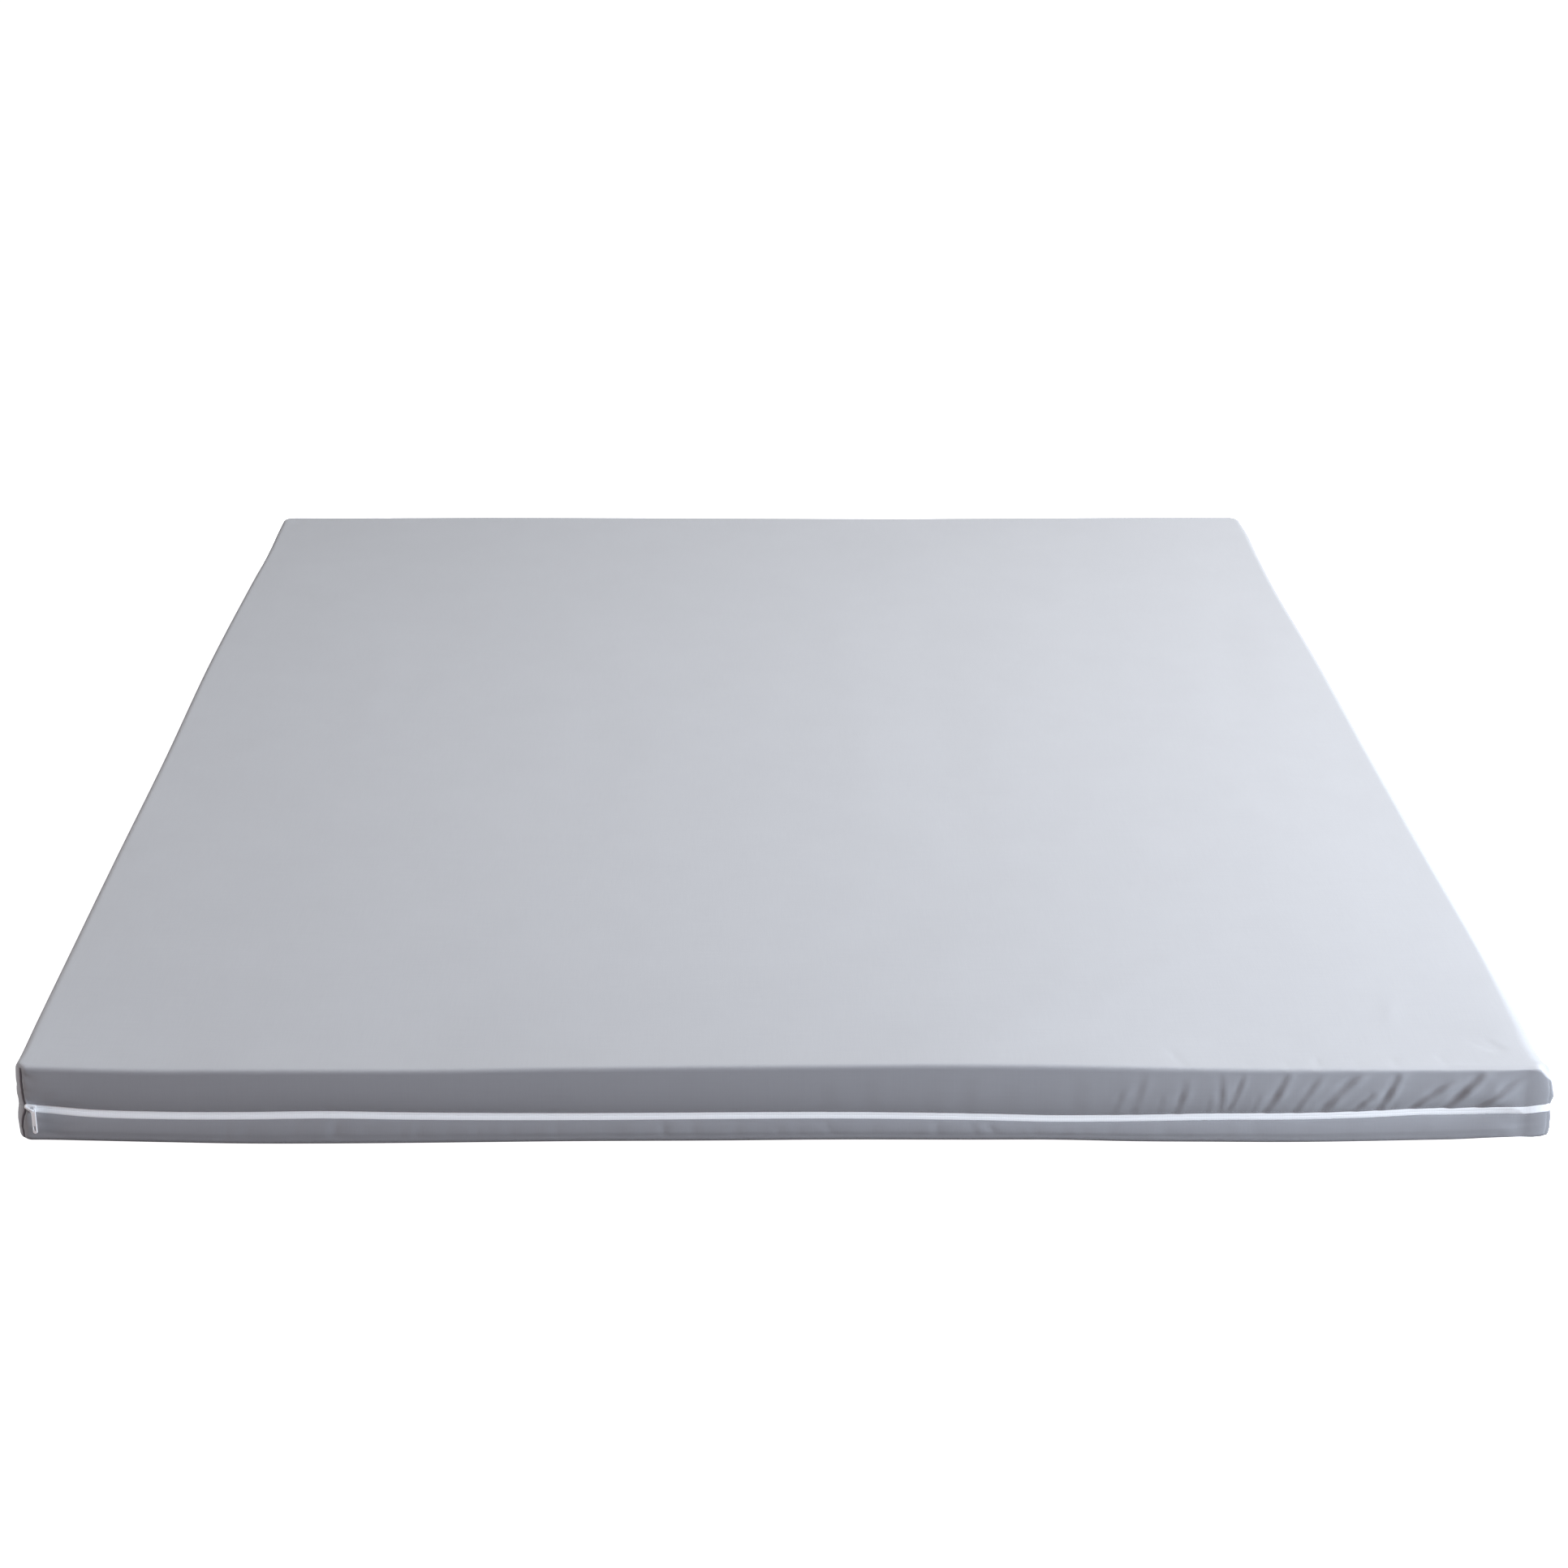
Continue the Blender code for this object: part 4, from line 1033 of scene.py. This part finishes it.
# ----------------------------------------
# Stitching: the thread that holds each hem to its tape, in the cover's own colour, 2 mm
# from the fold of the hem.
# ----------------------------------------
STITCH_PITCH = 0.0032
STITCH_HALF_LENGTH = 0.00125
STITCH_RADIUS = 0.00022
STITCH_FLATNESS = 0.8
# Each row: which shell it is on, and its share of the wall's way from the fold to the hem.
STITCH_SHARES = ((True, 0.955), (False, 0.93))
FIRST_STITCH = ZIP_FIRST + 0.012
STITCHES_AT_ONCE = 40
THREAD_DARK = (0.25, 0.26, 0.28, 1.0)
THREAD_LIGHT = (0.36, 0.37, 0.40, 1.0)
TWIST_SPOTS = 2500.0
ALONG_X = Matrix.Rotation(math.pi / 2, 4, "Y")


def stitch_rows(upper, share):
    """Short rounded threads end to end along one hem, all in one mesh."""
    flatter = STITCH_RADIUS * STITCH_FLATNESS
    turns = []
    for edge, first, last in (("front", FIRST_STITCH, HALF_WIDTH), ("right", -HALF_LENGTH, ZIP_LAST)):
        middles = np.arange(first + STITCH_PITCH / 2, last, STITCH_PITCH)
        shares = np.full(len(middles), share)
        tails, heads = (np.stack(wall_points(edge, middles + step, shares, upper), 1)
                        for step in (-STITCH_HALF_LENGTH, STITCH_HALF_LENGTH))
        _, ways = outline(edge, middles)
        for tail, head, way in zip(tails, heads, ways):
            middle = Vector((tail + head) / 2) + Vector((*OFF_MIDDLE, 0.0))
            forward = Vector(head - tail).normalized()
            out = Vector((*way, 0.0))
            up = forward.cross(out).normalized()
            turn = Matrix((forward, out, up)).transposed().to_4x4()
            size = Matrix.Diagonal((STITCH_HALF_LENGTH, flatter, STITCH_RADIUS, 1.0))
            turns.append(Matrix.Translation(middle) @ turn @ size @ ALONG_X)
    rows = bmesh.new()
    for start in range(0, len(turns), STITCHES_AT_ONCE):
        build = bmesh.new()
        for turn in turns[start:start + STITCHES_AT_ONCE]:
            bmesh.ops.create_uvsphere(build, u_segments=6, v_segments=4, radius=1.0, matrix=turn)
        some = mesh_from("some_stitches", build)
        rows.from_mesh(some)
        bpy.data.meshes.remove(some)
    return mesh_from("stitching", rows)


thread_finish, thread_shader, wire = finish_for("grey_blue_thread", 0.7, 0.1)
thread_place = wire.add("ShaderNodeTexCoord", {}, {}, output=3)
twist = thread_place.mottling(TWIST_SPOTS, TWIST_SPOTS, 1.0)
wire.feed(thread_shader.inputs["Base Color"], twist.between(THREAD_DARK, THREAD_LIGHT))
for name, (upper, share) in zip(("stitching_upper", "stitching_lower"), STITCH_SHARES):
    stitching = place_piece(name, stitch_rows(upper, share))
    stitching.data.materials.append(thread_finish)

# ----------------------------------------
# Slider: a die-cast body painted white, with a narrow round nose and a broad heel, and a
# bridge over it that holds the pull. It is parked at the front-left corner, tipped down.
# ----------------------------------------
SLIDER_ALONG = -0.6868
SLIDER_RISE = 0.0006
SLIDER_TILT = math.radians(28)
SLIDER_STAND_OFF = 0.0009
SLIDER_LENGTH = 0.0100
SLIDER_HEIGHT = 0.0088
BODY_THICKNESS = 0.0022
NOSE_RADIUS = 0.0024
HEEL_RADIUS = 0.0014
BRIDGE_WIDTH = 0.0018
BRIDGE_BAR = 0.0012
BRIDGE_GAP = 0.0020
BRIDGE_SPAN = 0.0088
# The opening under the bridge: its place on the body, width and length.
WINDOW = ((0.0012, -0.0002), 0.0024, 0.0034)
BODY_ROUNDING = 0.0005
BRIDGE_ROUNDING = 0.00035
BRIDGE_SUNK = 0.0006
PAINT_DARK = (0.88, 0.90, 0.93, 1.0)
PAINT_LIGHT = (0.93, 0.95, 0.98, 1.0)
SPECKLE_SPOTS = 1800.0


def arc(centre, radius, start, end, steps):
    """Points on an arc in the XZ plane, from one angle to another in degrees."""
    x, z = centre
    turns = np.radians(np.linspace(start, end, steps + 1))
    return [(x + radius * math.cos(turn), z + radius * math.sin(turn)) for turn in turns]


def slot_outline(centre, width, length):
    """A round-ended upright slot in the XZ plane, or a hole where length equals width."""
    x, z = centre
    radius, rise = width / 2, (length - width) / 2
    return arc((x, z + rise), radius, 0, 180, 8) + arc((x, z - rise - 1e-6), radius, 180, 360, 8)


# Edges that turn more than this, in radians, are rims.
RIM_TURN = 1.2


def plate(outlines, thickness, rounding):
    """A plate in the XZ plane with holes, from closed outlines, its rims rounded over."""
    build = bmesh.new()
    for line in outlines:
        ring = [build.verts.new((x, 0.0, z)) for x, z in line]
        for i, vert in enumerate(ring):
            build.edges.new((vert, ring[(i + 1) % len(ring)]))
    bmesh.ops.triangle_fill(build, use_beauty=True, edges=build.edges)
    grown = bmesh.ops.extrude_face_region(build, geom=build.faces[:])
    moved = [item for item in grown["geom"] if isinstance(item, bmesh.types.BMVert)]
    bmesh.ops.translate(build, verts=moved, vec=(0.0, -thickness, 0.0))
    bmesh.ops.recalc_face_normals(build, faces=build.faces)
    rims = [edge for edge in build.edges if edge.calc_face_angle(0.0) > RIM_TURN]
    bmesh.ops.bevel(build, geom=rims, offset=rounding, segments=3, profile=0.5, affect="EDGES",
                    material=-1)
    return build


def finished_mesh(name, build, place):
    """The bmesh as a mesh, moved to its place."""
    bmesh.ops.recalc_face_normals(build, faces=build.faces)
    build.transform(place)
    return mesh_from(name, build)


_, zip_here, _, out_here, _, _, waist_here = (value[0] for value in sections_at("front", SLIDER_ALONG))
face_here = -HALF_LENGTH - (out_here - waist_here)
at_slider = (SLIDER_ALONG + OFF_MIDDLE[0], OFF_MIDDLE[1] + face_here - SLIDER_STAND_OFF,
             zip_here + SLIDER_RISE)
on_wall = Matrix.Translation(at_slider)

nose_x = NOSE_RADIUS - SLIDER_LENGTH / 2
heel_x, heel_z = SLIDER_LENGTH / 2 - HEEL_RADIUS, SLIDER_HEIGHT / 2 - HEEL_RADIUS
body_outline = (arc((nose_x, 0.0), NOSE_RADIUS, 100, 260, 10)
                + arc((heel_x, -heel_z), HEEL_RADIUS, 280, 360, 5)
                + arc((heel_x, heel_z), HEEL_RADIUS, 0, 80, 5))
body = plate([body_outline, slot_outline(*WINDOW)], BODY_THICKNESS, BODY_ROUNDING)

# The bridge seen from its side: its right half from the arch down to the leg and over the
# shoulder, then the same mirrored.
reach, sunk = BRIDGE_SPAN / 2, BODY_THICKNESS - BRIDGE_SUNK
under, over = BODY_THICKNESS + BRIDGE_GAP, BODY_THICKNESS + BRIDGE_GAP + BRIDGE_BAR
inner = reach - BRIDGE_BAR
right_half = [(inner - 0.0005, under), (inner, under - 0.0005), (inner, sunk), (reach, sunk),
              (reach, over - 0.0012), (reach - 0.0004, over - 0.0004), (reach - 0.0012, over)]
bridge_side = right_half + [(-x, z) for x, z in reversed(right_half)]
bridge = plate([bridge_side], BRIDGE_WIDTH, BRIDGE_ROUNDING)
upright = Matrix.Rotation(math.pi / 2, 4, "X") @ Matrix.Translation((0.0, BRIDGE_WIDTH / 2, 0.0))
body.from_mesh(finished_mesh("bridge", bridge, upright))
slider_mesh = finished_mesh("slider", body, on_wall @ Matrix.Rotation(SLIDER_TILT, 4, "Y"))
slider = place_piece("slider", slider_mesh)
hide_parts("zip_slider")

paint_finish, paint_shader, wire = finish_for("white_painted_metal", 0.32, 0.0)
paint_shader.inputs["Specular IOR Level"].default_value = 0.5
paint_place = wire.add("ShaderNodeTexCoord", {}, {}, output=3)
speckle = paint_place.mottling(SPECKLE_SPOTS, SPECKLE_SPOTS, 2.0)
wire.feed(paint_shader.inputs["Base Color"], speckle.between(PAINT_DARK, PAINT_LIGHT))
wire.feed(paint_shader.inputs["Roughness"], 0.26 + 0.14 * speckle)
speckle.bump(paint_shader, 0.15, RELIEF_DEPTH)
slider_mesh.materials.append(paint_finish)

# ----------------------------------------
# Pull: a stamped tab of the same painted metal, its eye round the bridge's right leg and a
# slot near its end. It hangs down over the lower shell.
# ----------------------------------------
PULL_EYE_TO_END = 0.0225
PULL_TOP_WIDTH = 0.0041
PULL_END_WIDTH = 0.0044
PULL_THICKNESS = 0.0011
PULL_STAND_OFF = BODY_THICKNESS + 0.0004
PULL_KICK = math.radians(8.0)
PULL_LEAN = math.radians(-4.0)
PULL_TWIST = math.radians(-12.0)
PULL_ROUNDING = 0.00025
EYE = ((0.0, 0.0), 0.0026, 0.0028)
SLOT = ((0.0, -0.0175), 0.0017, 0.0050)

top, end = PULL_TOP_WIDTH / 2, PULL_END_WIDTH / 2
tab_outline = arc((0.0, 0.0), top, 0, 180, 14) + arc((0.0, end - PULL_EYE_TO_END), end, 180, 360, 14)
tab = plate([tab_outline, slot_outline(*EYE), slot_outline(*SLOT)], PULL_THICKNESS, PULL_ROUNDING)
leg = Vector(((BRIDGE_SPAN - BRIDGE_BAR) / 2, 0.0, 0.0))
leg.rotate(Matrix.Rotation(SLIDER_TILT, 3, "Y"))
hang = on_wall @ Matrix.Translation(leg + Vector((0.0, -PULL_STAND_OFF, 0.0)))
hang = hang @ Matrix.Rotation(PULL_LEAN, 4, "Y") @ Matrix.Rotation(-PULL_KICK, 4, "X")
hang = hang @ Matrix.Rotation(PULL_TWIST, 4, "Z")
pull = place_piece("pull", finished_mesh("pull", tab, hang))
pull.data.materials.append(paint_finish)
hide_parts("zip_pull")
